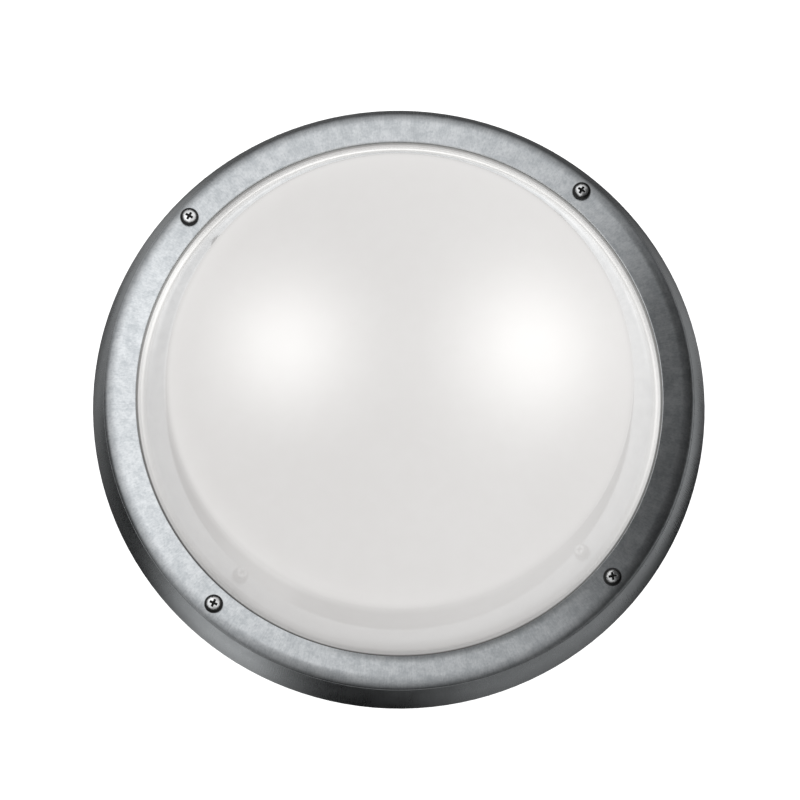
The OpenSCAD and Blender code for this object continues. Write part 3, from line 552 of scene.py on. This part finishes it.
def mottle_group():
    """Soft clouds with finer grain on them, from two noises of different scale."""
    n, inp, out = new_group("Mottle", {"Vector": VECTOR, "Cloud": VALUE, "Fine": VALUE}, "Mottle")
    cloud = n.noise(inp["Vector"], inp["Cloud"], 3.0)
    fine = n.noise(inp["Vector"], inp["Fine"], 2.0)
    n.link(n.span(n.mix(0.45, cloud, fine), 0.32, 0.68), out)
    return n.tree


def handled_group():
    """Faint handled patches, where a noise rises over a threshold."""
    n, inp, out = new_group("Handled", {"Vector": VECTOR, "Scale": VALUE}, "Patch")
    n.link(n.span(n.noise(inp["Vector"], inp["Scale"], 5.0, 0.65), 0.45, 0.72), out)
    return n.tree


def glow_group():
    """Light of one lamp on the diffuser: a bell curve of the distance from its place."""
    n, inp, out = new_group(
        "Lamp glow", {"Vector": VECTOR, "Place": VECTOR, "Spread": VALUE}, "Glow")
    away = n.add("ShaderNodeVectorMath", {0: inp["Vector"], 1: inp["Place"]},
                 operation="SUBTRACT").outputs[0]
    share = n.math("DIVIDE", n.size(n.flat(away)), inp["Spread"])
    n.link(n.math("EXPONENT", n.product(share, share, -0.5)), out)
    return n.tree


def height_shade_group():
    """Painted shade that grows from nothing at one height to its full strength at another."""
    n, inp, out = new_group(
        "Painted height shade", {"Vector": VECTOR, "Top": VALUE, "Foot": VALUE, "Strength": VALUE},
        "Painted shade")
    height = n.split(inp["Vector"])[2]
    n.link(n.span(height, inp["Top"], inp["Foot"], 0.0, inp["Strength"]), out)
    return n.tree


GROUP_MAKERS = {
    "Turned grain": turned_grain_group,
    "Mottle": mottle_group,
    "Handled": handled_group,
    "Lamp glow": glow_group,
    "Painted height shade": height_shade_group,
}


def shared(name):
    """A shader node group, built the first time it is asked for."""
    return bpy.data.node_groups.get(name) or GROUP_MAKERS[name]()


BUMP_DISTANCE = 0.1 * MM
STEEL_RELIEF = 0.04
UNLIT = (0.0, 0.0, 0.0)
WHITE = (1.0, 1.0, 1.0, 1.0)


def shaded(tint, share):
    """A colour darkened to a share of itself."""
    return tuple(share * c for c in tint)


def new_material(name):
    """A material with its node helper, its Principled shader and its Object coordinates."""
    material = bpy.data.materials.new(name)
    material.use_nodes = True
    nodes = Nodes(material.node_tree)
    shader = material.node_tree.nodes["Principled BSDF"]
    where = nodes.add("ShaderNodeTexCoord").outputs["Object"]
    return material, nodes, shader, where


def set_surface(n, shader, tint, roughness, height, relief):
    """Feeds a colour, a roughness and, through a Bump node, a height into the shader."""
    n.link(tint, shader.inputs["Base Color"])
    n.link(roughness, shader.inputs["Roughness"])
    bump = n.add("ShaderNodeBump", {
        "Height": height, "Strength": relief, "Distance": BUMP_DISTANCE})
    n.link(bump.outputs["Normal"], shader.inputs["Normal"])


# Angles round the light, in degrees: where the painted shade by the ring's opening is darkest,
# where the painted shade in the seam is darkest, where the foot of the wall gets least light
# from the ring, and where the wall lets most light through half way up.
OPENING_SHADE_TURN, SEAM_SHADE_TURN, FOOT_TURN, CREST_TURN = 284.0, 285.0, 74.0, 85.0


def ring_painted_shade(n, where, ring):
    """Painted shade on the ring: over its joint with the base, and low down round its opening."""
    joint = n.group("Painted height shade", Vector=where, Top=ring.foot + ring.painted_shade, Foot=ring.foot,
                    Strength=0.6)
    inner = n.span(n.size(n.flat(where)), ring.opening + 4.5 * MM, ring.opening)
    low = n.span(n.towards(where, OPENING_SHADE_TURN), 0.8 * ring.opening, ring.opening, 0.0, 0.62)
    return n.math("MAXIMUM", joint, n.product(inner, low))


def base_painted_shade(n, where):
    """Faint painted shade on the base that grows towards the wall."""
    return n.group("Painted height shade", Vector=where, Top=14.0 * MM, Foot=0.0, Strength=0.3)


def turned_metal(name, light, dark, painted_shade, shade_tint, rough, relief):
    """Satin metal with turned grain, soft mottling, handled patches and painted shade."""
    material, n, shader, where = new_material(name)
    grain = n.group("Turned grain", Vector=where, Streak=300.0, Pitch=250.0)
    mottle = n.group("Mottle", Vector=where, Cloud=150.0, Fine=800.0)
    patch = n.group("Handled", Vector=where, Scale=22.0)
    metal = n.blend(n.mix(0.3, mottle, n.span(grain, 0.32, 0.68)), dark, light)
    # Painted shade laid over the metal in its own colour.
    shaded_metal = n.blend(painted_shade(n, where), metal, shade_tint)
    roughness = n.span(n.mix(0.3, grain, patch), 0.2, 0.8, *rough)
    set_surface(n, shader, shaded_metal, roughness, n.mix(0.6, grain, mottle), relief)
    shader.inputs["Metallic"].default_value = 1.0
    return material


def bright_steel(name, light, rough):
    """Bright plated steel with faint tarnish."""
    material, n, shader, where = new_material(name)
    mottle = n.group("Mottle", Vector=where, Cloud=260.0, Fine=2600.0)
    patch = n.group("Handled", Vector=where, Scale=400.0)
    metal = n.blend(mottle, shaded(light, 0.8), light)
    set_surface(n, shader, metal, n.span(patch, 0.0, 1.0, *rough), mottle, STEEL_RELIEF)
    shader.inputs["Metallic"].default_value = 1.0
    return material


def screw_steel(crown, grime):
    """Bright crown with painted shade in the recess and round the rim, from a point attribute."""
    material, n, shader, where = new_material("screw_steel")
    mottle = n.group("Mottle", Vector=where, Cloud=260.0, Fine=2600.0)
    darkening = n.add("ShaderNodeAttribute", attribute_name="grime").outputs["Fac"]
    ragged = n.math("MULTIPLY_ADD", mottle, 0.3, n.math("SUBTRACT", darkening, 0.15))
    masked = n.span(ragged, 0.2, 0.6)
    metal = n.blend(masked, n.blend(mottle, shaded(crown, 0.85), crown), grime)
    set_surface(n, shader, metal, n.span(masked, 0.0, 1.0, 0.16, 0.5), mottle, STEEL_RELIEF)
    shader.inputs["Metallic"].default_value = 1.0
    return material


def moulded(name, light, dark, rough, grain, relief, coat=0.0):
    """Moulded, fired or painted material with faint clouds, fine grain and handled patches."""
    material, n, shader, where = new_material(name)
    mottle = n.group("Mottle", Vector=where, Cloud=40.0, Fine=grain)
    patch = n.group("Handled", Vector=where, Scale=60.0)
    tint = n.blend(mottle, dark, light)
    set_surface(n, shader, tint, n.span(patch, 0.0, 1.0, *rough), mottle, relief)
    shader.inputs["Coat Weight"].default_value = coat
    return material


def wall_light(n, where, seen, bowl):
    """Light on the diffuser's wall, by the height on it and the place round it.

    The ring lights the foot, and least of it near the top. Higher up, light comes through
    the upper half of the wall, but not in a shaded strip over the foot. What comes through
    at the top shows only to the eye and not in what is mirrored.
    """
    _, up, out = n.split(where)
    top = n.towards(where, FOOT_TURN)
    crest = n.towards(where, CREST_TURN)

    def height(start, end, level=1.0):
        """Grows from nothing at one height over the root, in millimetres, to a level."""
        return n.span(out, bowl.root_z + start * MM, bowl.root_z + end * MM, 0.0, level)

    def place(along, start, end, first=0.0, last=1.0):
        """Goes from one level to another between two shares of the root radius."""
        return n.span(along, start * bowl.root, end * bowl.root, first, last)

    foot = n.product(height(15.0, 0.0, bowl.foot), place(up, -0.8, 0.0, 0.1, 1.0),
                     place(top, 0.55, 0.2, 0.5, 1.05))
    shade = n.product(height(10.0, 5.0), place(top, 0.25, 0.55))
    wall = n.product(height(26.0, 14.0, bowl.wall), place(up, -0.05, 0.4),
                     place(top, 0.78, 0.95, 1.0, 0.2), n.rest(shade))
    upper = n.product(height(11.0, 20.0), height(41.0, 29.0, bowl.upper),
                      place(crest, 0.4, 0.85), seen)
    return n.total(foot, wall, upper)


def opal_material(finish, bowl):
    """Glossy opal with faint clouds and a painted dark seam, lit from behind by two lamps.

    Besides the two glows, light comes through evenly with a lean to one side, the shoulder
    gathers some, and the wall has its own. The seam is painted dark for the eye alone, while
    a painted glow in it, unseen by the eye, is what the wall mirrors.
    """
    material, n, shader, where = new_material("opal")
    mottle = n.group("Mottle", Vector=where, Cloud=14.0, Fine=120.0)
    patch = n.group("Handled", Vector=where, Scale=18.0)
    across, _, out = n.split(where)
    seen = n.add("ShaderNodeLightPath").outputs["Is Camera Ray"]
    # Band of the seam: painted shade for the eye, darkest towards one side, and painted light for
    # every other ray.
    seam = n.span(out, bowl.flange_top + 0.3 * MM, bowl.flange_top)
    seam_darkness = n.span(n.towards(where, SEAM_SHADE_TURN), -0.9 * bowl.root, 0.6 * bowl.root, 0.35, 1.0)
    opal = n.blend(mottle, finish.opal_dark, finish.opal)
    seam_shaded = n.blend(n.product(seam, seen, seam_darkness), opal, finish.seam)
    n.link(seam_shaded, shader.inputs["Base Color"])
    n.link(n.span(patch, 0.0, 1.0, 0.06, 0.08), shader.inputs["Roughness"])
    shader.inputs["Specular IOR Level"].default_value = 0.35

    left = n.group("Lamp glow", Vector=where, Place=tuple(bowl.lamp_left),
                   Spread=bowl.spread_left)
    right = n.group("Lamp glow", Vector=where, Place=tuple(bowl.lamp_right),
                    Spread=bowl.spread_right)
    glows = n.product(n.total(left, right), bowl.glow)
    leaning = n.total(n.dot(where, tuple(bowl.lean_light)), bowl.even_light)
    wall = n.product(n.rest(seam), wall_light(n, where, seen, bowl))
    edge = n.product(
        n.span(out, bowl.rim_z - 10.0 * MM, bowl.rim_z - 4.0 * MM, 0.0, bowl.edge),
        n.span(out, bowl.rim_z + 1.5 * MM, bowl.rim_z - 1.0 * MM),
        n.span(across, bowl.rim, -bowl.rim, 0.1, 1.0))
    # Painted glow in the seam, unseen by the eye, for the wall to mirror.
    seam_glow = n.product(seam, n.rest(seen), bowl.seam_glow)
    light = n.total(glows, leaning, wall, edge, seam_glow)
    n.link(n.blend(light, UNLIT, finish.glow), shader.inputs["Emission Color"])
    shader.inputs["Emission Strength"].default_value = 1.0
    return material


def dress(names, material):
    """Gives CAD nodes a finish through their material slots."""
    for name in names:
        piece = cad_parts[name]
        if not piece.material_slots:
            raise RuntimeError(f"{name} has no material slot")
        for slot in piece.material_slots:
            slot.material = material


class BULKHEAD_OT_bezel_ring(Operator):
    """Turns the satin bezel ring"""

    bl_idname = "bulkhead.bezel_ring"
    bl_label = "Bezel ring"

    def execute(self, context):
        finish = context.scene.bulkhead_finish
        ring = context.scene.bulkhead_ring
        metal = turned_metal("bezel_metal", finish.metal, finish.metal_dark,
                             lambda n, where: ring_painted_shade(n, where, ring), finish.painted_shade,
                             rough=(0.32, 0.40), relief=0.05)
        points, faces = turned_ring(ring_profile(ring), RING_COLUMNS)
        new_piece("ring_satin", points, faces, metal, ("bezel_ring",))
        return {"FINISHED"}


class BULKHEAD_OT_diffuser(Operator):
    """Turns the opal diffuser and lights it"""

    bl_idname = "bulkhead.diffuser"
    bl_label = "Diffuser"

    def execute(self, context):
        bowl = context.scene.bulkhead_bowl
        points, faces = turned_solid(bowl_profile(bowl), BOWL_COLUMNS)
        opal = opal_material(context.scene.bulkhead_finish, bowl)
        new_piece("diffuser_opal", points, faces, opal, ("diffuser",))
        return {"FINISHED"}


class BULKHEAD_OT_bezel_screws(Operator):
    """Makes the four pan-head screws, each with its recess turned its own way"""

    bl_idname = "bulkhead.bezel_screws"
    bl_label = "Bezel screws"

    def execute(self, context):
        s = context.scene.bulkhead_screws
        points, faces, grime, start = [], [], [], 0
        for i in range(s.count):
            a = s.first + 2.0 * math.pi * i / s.count
            centre = (s.circle * math.cos(a), s.circle * math.sin(a))
            one, its_faces, its_shading = screw_points(s, centre, s.turns[i % len(s.turns)])
            points.append(one)
            grime.append(its_shading)
            faces += [[start + k for k in face] for face in its_faces]
            start += len(one)
        finish = context.scene.bulkhead_finish
        steel = screw_steel(finish.crown, finish.grime)
        screws = new_piece("screws_pan_head", np.vstack(points), faces, steel,
                           ("bezel_screws",), crease=55.0)
        # Painted shade on the screws, one share for each point.
        layer = screws.data.attributes.new("grime", "FLOAT", "POINT")
        layer.data.foreach_set("value", np.concatenate(grime))
        return {"FINISHED"}


class BULKHEAD_OT_cast_base(Operator):
    """Finishes the cast base, its gasket and its cable grommet"""

    bl_idname = "bulkhead.cast_base"
    bl_label = "Cast base"

    def execute(self, context):
        finish = context.scene.bulkhead_finish
        dress(["base_housing"], turned_metal(
            "base_metal", finish.cast, finish.cast_dark, base_painted_shade, finish.painted_shade,
            rough=(0.26, 0.36), relief=0.02))
        dress(["diffuser_gasket"], moulded(
            "gasket_rubber", (0.42, 0.42, 0.41), (0.36, 0.36, 0.352),
            rough=(0.6, 0.8), grain=900.0, relief=0.1))
        dress(["cable_grommet"], moulded(
            "grommet_rubber", (0.026, 0.026, 0.026), (0.016, 0.016, 0.016),
            rough=(0.55, 0.75), grain=900.0, relief=0.1))
        return {"FINISHED"}


class BULKHEAD_OT_gear(Operator):
    """Finishes the tray, lampholders, lamps, terminals and wires inside"""

    bl_idname = "bulkhead.gear"
    bl_label = "Gear"

    def execute(self, context):
        steel = context.scene.bulkhead_finish.steel
        dress(["gear_tray"], moulded(
            "tray_white", (0.74, 0.74, 0.72), (0.68, 0.68, 0.66),
            rough=(0.25, 0.4), grain=500.0, relief=0.06, coat=0.4))
        dress(["bracket_left", "bracket_right", "bracket_rivets", "tray_screws",
               "holder_screws", "block_screws", "clamp_screws", "earth_washer", "earth_lug"],
              bright_steel("zinc_steel", steel, rough=(0.28, 0.42)))
        dress(["lampholder_left", "lampholder_right", "terminal_block"], moulded(
            "porcelain", (0.80, 0.77, 0.68), (0.74, 0.70, 0.60),
            rough=(0.12, 0.24), grain=700.0, relief=0.04, coat=0.6))
        dress(["holder_shell_left", "holder_shell_right", "centre_contact_left",
               "centre_contact_right", "terminal_tubes", "terminal_screws", "earth_screw"],
              bright_steel("brass", (0.78, 0.56, 0.24), rough=(0.2, 0.36)))
        dress(["lamp_left", "lamp_right"], moulded(
            "lamp_glass", (0.86, 0.85, 0.82), (0.82, 0.81, 0.77),
            rough=(0.08, 0.14), grain=200.0, relief=0.02))
        dress(["cable_clamp"], moulded(
            "clamp_nylon", (0.72, 0.72, 0.69), (0.66, 0.66, 0.62),
            rough=(0.4, 0.55), grain=600.0, relief=0.06))
        sleeves = {
            "line_sleeve": ((0.16, 0.055, 0.02), ["line_wire_left", "line_wire_right"]),
            "neutral_sleeve": ((0.015, 0.06, 0.35), ["neutral_wire_left", "neutral_wire_right"]),
            "earth_sleeve": ((0.20, 0.42, 0.03), ["earth_wire"]),
        }
        for name, (light, wires) in sleeves.items():
            dress(wires, moulded(name, light, shaded(light, 0.75),
                                 rough=(0.35, 0.5), grain=900.0, relief=0.06))
        return {"FINISHED"}


# Level of the card by the angle round the light in degrees.
CARD_LEVELS = (
    (0, 0.10), (12, 0.08), (21, 0.12), (31, 0.40), (45, 0.71), (62, 0.90), (90, 0.98),
    (115, 1.02), (135, 1.03), (155, 1.36), (180, 1.22), (205, 1.30), (222, 1.08), (245, 0.98),
    (270, 0.83), (281, 0.64), (290, 0.62), (304, 0.54), (317, 0.14), (330, 0.065),
    (345, 0.068), (360, 0.105))
# Level of the card's far part and of the surroundings at its height, by the same angle.
SIDE_LEVELS = (
    (0, 0.10), (14, 0.08), (32, 0.13), (46, 0.60), (62, 0.86), (90, 0.95), (115, 1.00),
    (135, 1.03), (155, 1.36), (180, 1.18), (205, 1.15), (222, 1.08), (233, 0.90), (244, 0.48),
    (256, 0.48), (270, 0.80), (285, 0.66), (304, 0.54), (317, 0.14), (330, 0.065),
    (345, 0.068), (360, 0.105))
# Level of the mirrored surroundings low down, by the same angle.
LOW_LEVELS = (
    (0, 0.74), (10, 0.70), (20, 0.50), (36, 0.30), (48, 0.18), (60, 0.07), (112, 0.10),
    (124, 0.34), (138, 0.56), (147, 0.46), (158, 0.24), (170, 0.02), (196, 0.0), (206, 0.22),
    (214, 0.50), (222, 0.80), (233, 0.84), (242, 0.20), (252, 0.0), (271, 0.0), (281, 0.14),
    (290, 0.28), (300, 0.32), (318, 0.54), (345, 0.74), (360, 0.74))
# Level of the mirrored surroundings close to the wall, by the same angle.
WALL_LEVELS = (
    (0, 0.0), (10, 0.0), (22, 0.08), (36, 0.30), (48, 0.18), (60, 0.07), (112, 0.10),
    (124, 0.30), (134, 0.08), (146, 0.08), (158, 0.26), (172, 0.13), (184, 0.05), (196, 0.02),
    (206, 0.14), (214, 0.44), (222, 0.64), (233, 0.68), (242, 0.18), (252, 0.01), (271, 0.01),
    (281, 0.10), (290, 0.24), (300, 0.27), (324, 0.26), (338, 0.06), (350, 0.0), (360, 0.0))
# Share of the card's level by the distance from the light's axis in metres.
CARD_FALL = ((0.0, 1.0), (0.170, 1.0), (0.199, 0.95), (0.279, 0.75), (0.384, 0.62),
             (0.45, 0.57), (0.60, 0.54))
CARD_SPAN, FAR_SHARE = CARD_FALL[-1]
# Distances from the axis at which the card's middle ends and its far part begins, in metres.
CARD_MIDDLE_END, CARD_FAR_START = (0.09, 0.13), (0.155, 0.23)
# Heights of a mirrored direction: where the sides fade, where the levels low down take over
# from the sides, and where those close to the wall take over in turn.
SIDE_FADE, LOW_START, WALL_START = (-0.75, 0.35), (-0.40, -0.54), (-0.58, -0.76)


def stage_sheet(name, reach, height, material):
    """A level square sheet that belongs to the stage, unseen by the matt surfaces."""
    mesh = bpy.data.meshes.new(name)
    corners = ((-reach, -reach), (reach, -reach), (reach, reach), (-reach, reach))
    mesh.from_pydata([(*corner, height) for corner in corners], [], [(0, 1, 2, 3)])
    mesh.materials.append(material)
    sheet = bpy.data.objects.new(name, mesh)
    bpy.context.scene.collection.objects.link(sheet)
    sheet.visible_diffuse = False
    return sheet


def angle_levels(n, x, y, *tables):
    """Levels by the angle round Z of a direction or place, one from each table."""
    turn = n.math("FRACT", n.math("DIVIDE", n.math("ARCTAN2", y, x), 2.0 * math.pi))
    return [n.ramp(turn, [(degrees / 360.0, level) for degrees, level in table])
            for table in tables]


def passed_on(n, rays, level, bounce):
    """A level as it is mirrored once, or the bounce where the ring passes it on."""
    return n.mix(n.math("GREATER_THAN", rays["Glossy Depth"], 1.5), level, bounce)


def sky(stage):
    """Soft light all round, and the surroundings that the metal mirrors.

    Matt surfaces get one level that leans to the right, up and forward. What is mirrored
    changes round the light and by height, and a height counts as lower towards the foot of
    the light and far on its left.
    """
    world = bpy.data.worlds.new("studio")
    world.use_nodes = True
    world.cycles.sampling_method = "NONE"
    bpy.context.scene.world = world
    n = Nodes(world.node_tree)
    back = world.node_tree.nodes["Background"]
    way = n.add("ShaderNodeTexCoord").outputs["Generated"]
    rays = n.add("ShaderNodeLightPath").outputs
    x, y, z = n.split(way)
    side, low, wall = angle_levels(n, x, y, SIDE_LEVELS, LOW_LEVELS, WALL_LEVELS)

    near_wall = n.span(n.math("MULTIPLY_ADD", y, 0.19, z), *WALL_START)
    low = n.mix(near_wall, low, wall)
    sunk = n.math("MULTIPLY_ADD", n.math("MINIMUM", y, 0.0), 0.18, z)
    side = n.product(side, n.span(sunk, *SIDE_FADE, 0.05, FAR_SHARE))
    far_left = n.math("MINIMUM", n.total(x, 0.62), 0.0)
    low_down = n.span(n.math("MULTIPLY_ADD", far_left, 0.85, z), *LOW_START)
    mirrored = passed_on(n, rays, n.mix(low_down, side, low), stage.bounce)

    matt = n.total(n.dot(way, tuple(stage.fill_lean)), stage.fill)
    soft = n.mix(n.math("GREATER_THAN", rays["Diffuse Depth"], 0.5), mirrored, matt)
    n.link(n.mix(rays["Is Camera Ray"], soft, 1.0), back.inputs["Strength"])
    back.inputs["Color"].default_value = WHITE


def floor_material(tint):
    """Pale floor with a faint mottle, bright enough to read as a white sweep."""
    material, n, shader, where = new_material("floor_pale")
    mottle = n.group("Mottle", Vector=where, Cloud=3.0, Fine=40.0)
    n.link(n.blend(mottle, shaded(tint, 0.985), tint), shader.inputs["Base Color"])
    shader.inputs["Roughness"].default_value = 0.9
    shader.inputs["Specular IOR Level"].default_value = 0.1
    shader.inputs["Emission Color"].default_value = WHITE
    shader.inputs["Emission Strength"].default_value = 0.7
    return material


def card_material(stage, lift):
    """Graded card that the metal mirrors: a level by angle, falling off outside the ring.

    The lift is how far up the card the camera sees the light's axis mirrored.
    """
    material = bpy.data.materials.new("graded_card")
    material.use_nodes = True
    material.cycles.emission_sampling = "NONE"
    n = Nodes(material.node_tree)
    material.node_tree.nodes.remove(material.node_tree.nodes["Principled BSDF"])
    x, y, _ = n.split(n.add("ShaderNodeTexCoord").outputs["Object"])
    y = n.math("SUBTRACT", y, lift)
    far = n.math("SQRT", n.total(n.product(x, x), n.product(y, y)))
    fall = n.ramp(n.math("DIVIDE", far, CARD_SPAN), [(d / CARD_SPAN, f) for d, f in CARD_FALL])
    levels = n.mix(n.span(far, *CARD_FAR_START), *angle_levels(n, x, y, CARD_LEVELS, SIDE_LEVELS))
    level = n.mix(n.span(far, *CARD_MIDDLE_END), stage.card_middle, n.product(levels, fall))
    rays = n.add("ShaderNodeLightPath").outputs
    glow = n.add("ShaderNodeEmission", {"Strength": passed_on(n, rays, level, stage.bounce)})
    n.link(glow.outputs[0], material.node_tree.nodes["Material Output"].inputs[0])
    return material


class BULKHEAD_OT_stage(Operator):
    """Lays the pale floor and sets the soft lights and the camera"""

    bl_idname = "bulkhead.stage"
    bl_label = "Stage"

    def execute(self, context):
        scene = context.scene
        stage, ring_top = scene.bulkhead_stage, scene.bulkhead_ring.top
        scene.view_settings.view_transform = "Standard"

        floor = stage_sheet("floor", stage.floor_reach, -stage.floor_drop,
                            floor_material(stage.floor))
        floor.visible_glossy = False

        lift = (stage.card_rise - ring_top) * math.tan(stage.tilt)
        card = stage_sheet("card", stage.card_reach, stage.card_rise, card_material(stage, lift))
        card.visible_camera = False
        card.visible_shadow = False
        card.visible_transmission = False

        sky(stage)

        across, up, back = self.camera_axes(stage)
        place = (Vector((0.0, 0.0, ring_top)) - stage.aim_x * across
                 - stage.aim_y * up + stage.distance * back)
        camera = bpy.data.cameras.new("camera")
        camera.lens = stage.lens
        camera.sensor_width = stage.sensor
        camera.clip_end = 50.0
        eye = bpy.data.objects.new("camera", camera)
        turn = Matrix((across, up, back)).transposed().to_4x4()
        eye.matrix_world = Matrix.Translation(place) @ turn
        scene.collection.objects.link(eye)
        scene.camera = eye
        return {"FINISHED"}

    @staticmethod
    def camera_axes(stage):
        """Right, up and back of the camera, from where the light's axis points in its view."""
        axis = Vector((math.sin(stage.tilt) * math.cos(stage.heading),
                       math.sin(stage.tilt) * math.sin(stage.heading), math.cos(stage.tilt)))
        first = (Vector((1.0, 0.0, 0.0)) - axis.x * axis).normalized()
        second = axis.cross(first)
        return [Vector((first[k], second[k], axis[k])) for k in range(3)]


class BULKHEAD_PT_panel(Panel):
    """Lists the pieces of the light and their settings"""

    bl_idname = "BULKHEAD_PT_panel"
    bl_label = "Bulkhead Light"
    bl_space_type = "VIEW_3D"
    bl_region_type = "UI"
    bl_category = "Bulkhead Light"

    def draw(self, context):
        for name, group in SETTINGS.items():
            box = self.layout.box()
            box.label(text=group.__doc__)
            values = getattr(context.scene, name)
            for key in group.__annotations__:
                box.prop(values, key)
        for operator in OPERATORS:
            self.layout.operator(operator.bl_idname)


OPERATORS = (
    BULKHEAD_OT_bezel_ring,
    BULKHEAD_OT_diffuser,
    BULKHEAD_OT_bezel_screws,
    BULKHEAD_OT_cast_base,
    BULKHEAD_OT_gear,
    BULKHEAD_OT_stage,
)
CLASSES = (*SETTINGS.values(), *OPERATORS, BULKHEAD_PT_panel)


def register():
    """Registers the classes and gives the scene its settings."""
    for cls in CLASSES:
        bpy.utils.register_class(cls)
    for name, group in SETTINGS.items():
        setattr(bpy.types.Scene, name, PointerProperty(type=group))


def unregister():
    """Takes the settings and the classes away again."""
    for name in SETTINGS:
        delattr(bpy.types.Scene, name)
    for cls in reversed(CLASSES):
        bpy.utils.unregister_class(cls)


def main():
    """Makes every piece and the stage."""
    register()
    bpy.ops.bulkhead.bezel_ring()
    bpy.ops.bulkhead.diffuser()
    bpy.ops.bulkhead.bezel_screws()
    bpy.ops.bulkhead.cast_base()
    bpy.ops.bulkhead.gear()
    bpy.ops.bulkhead.stage()


if __name__ == "__main__":
    main()
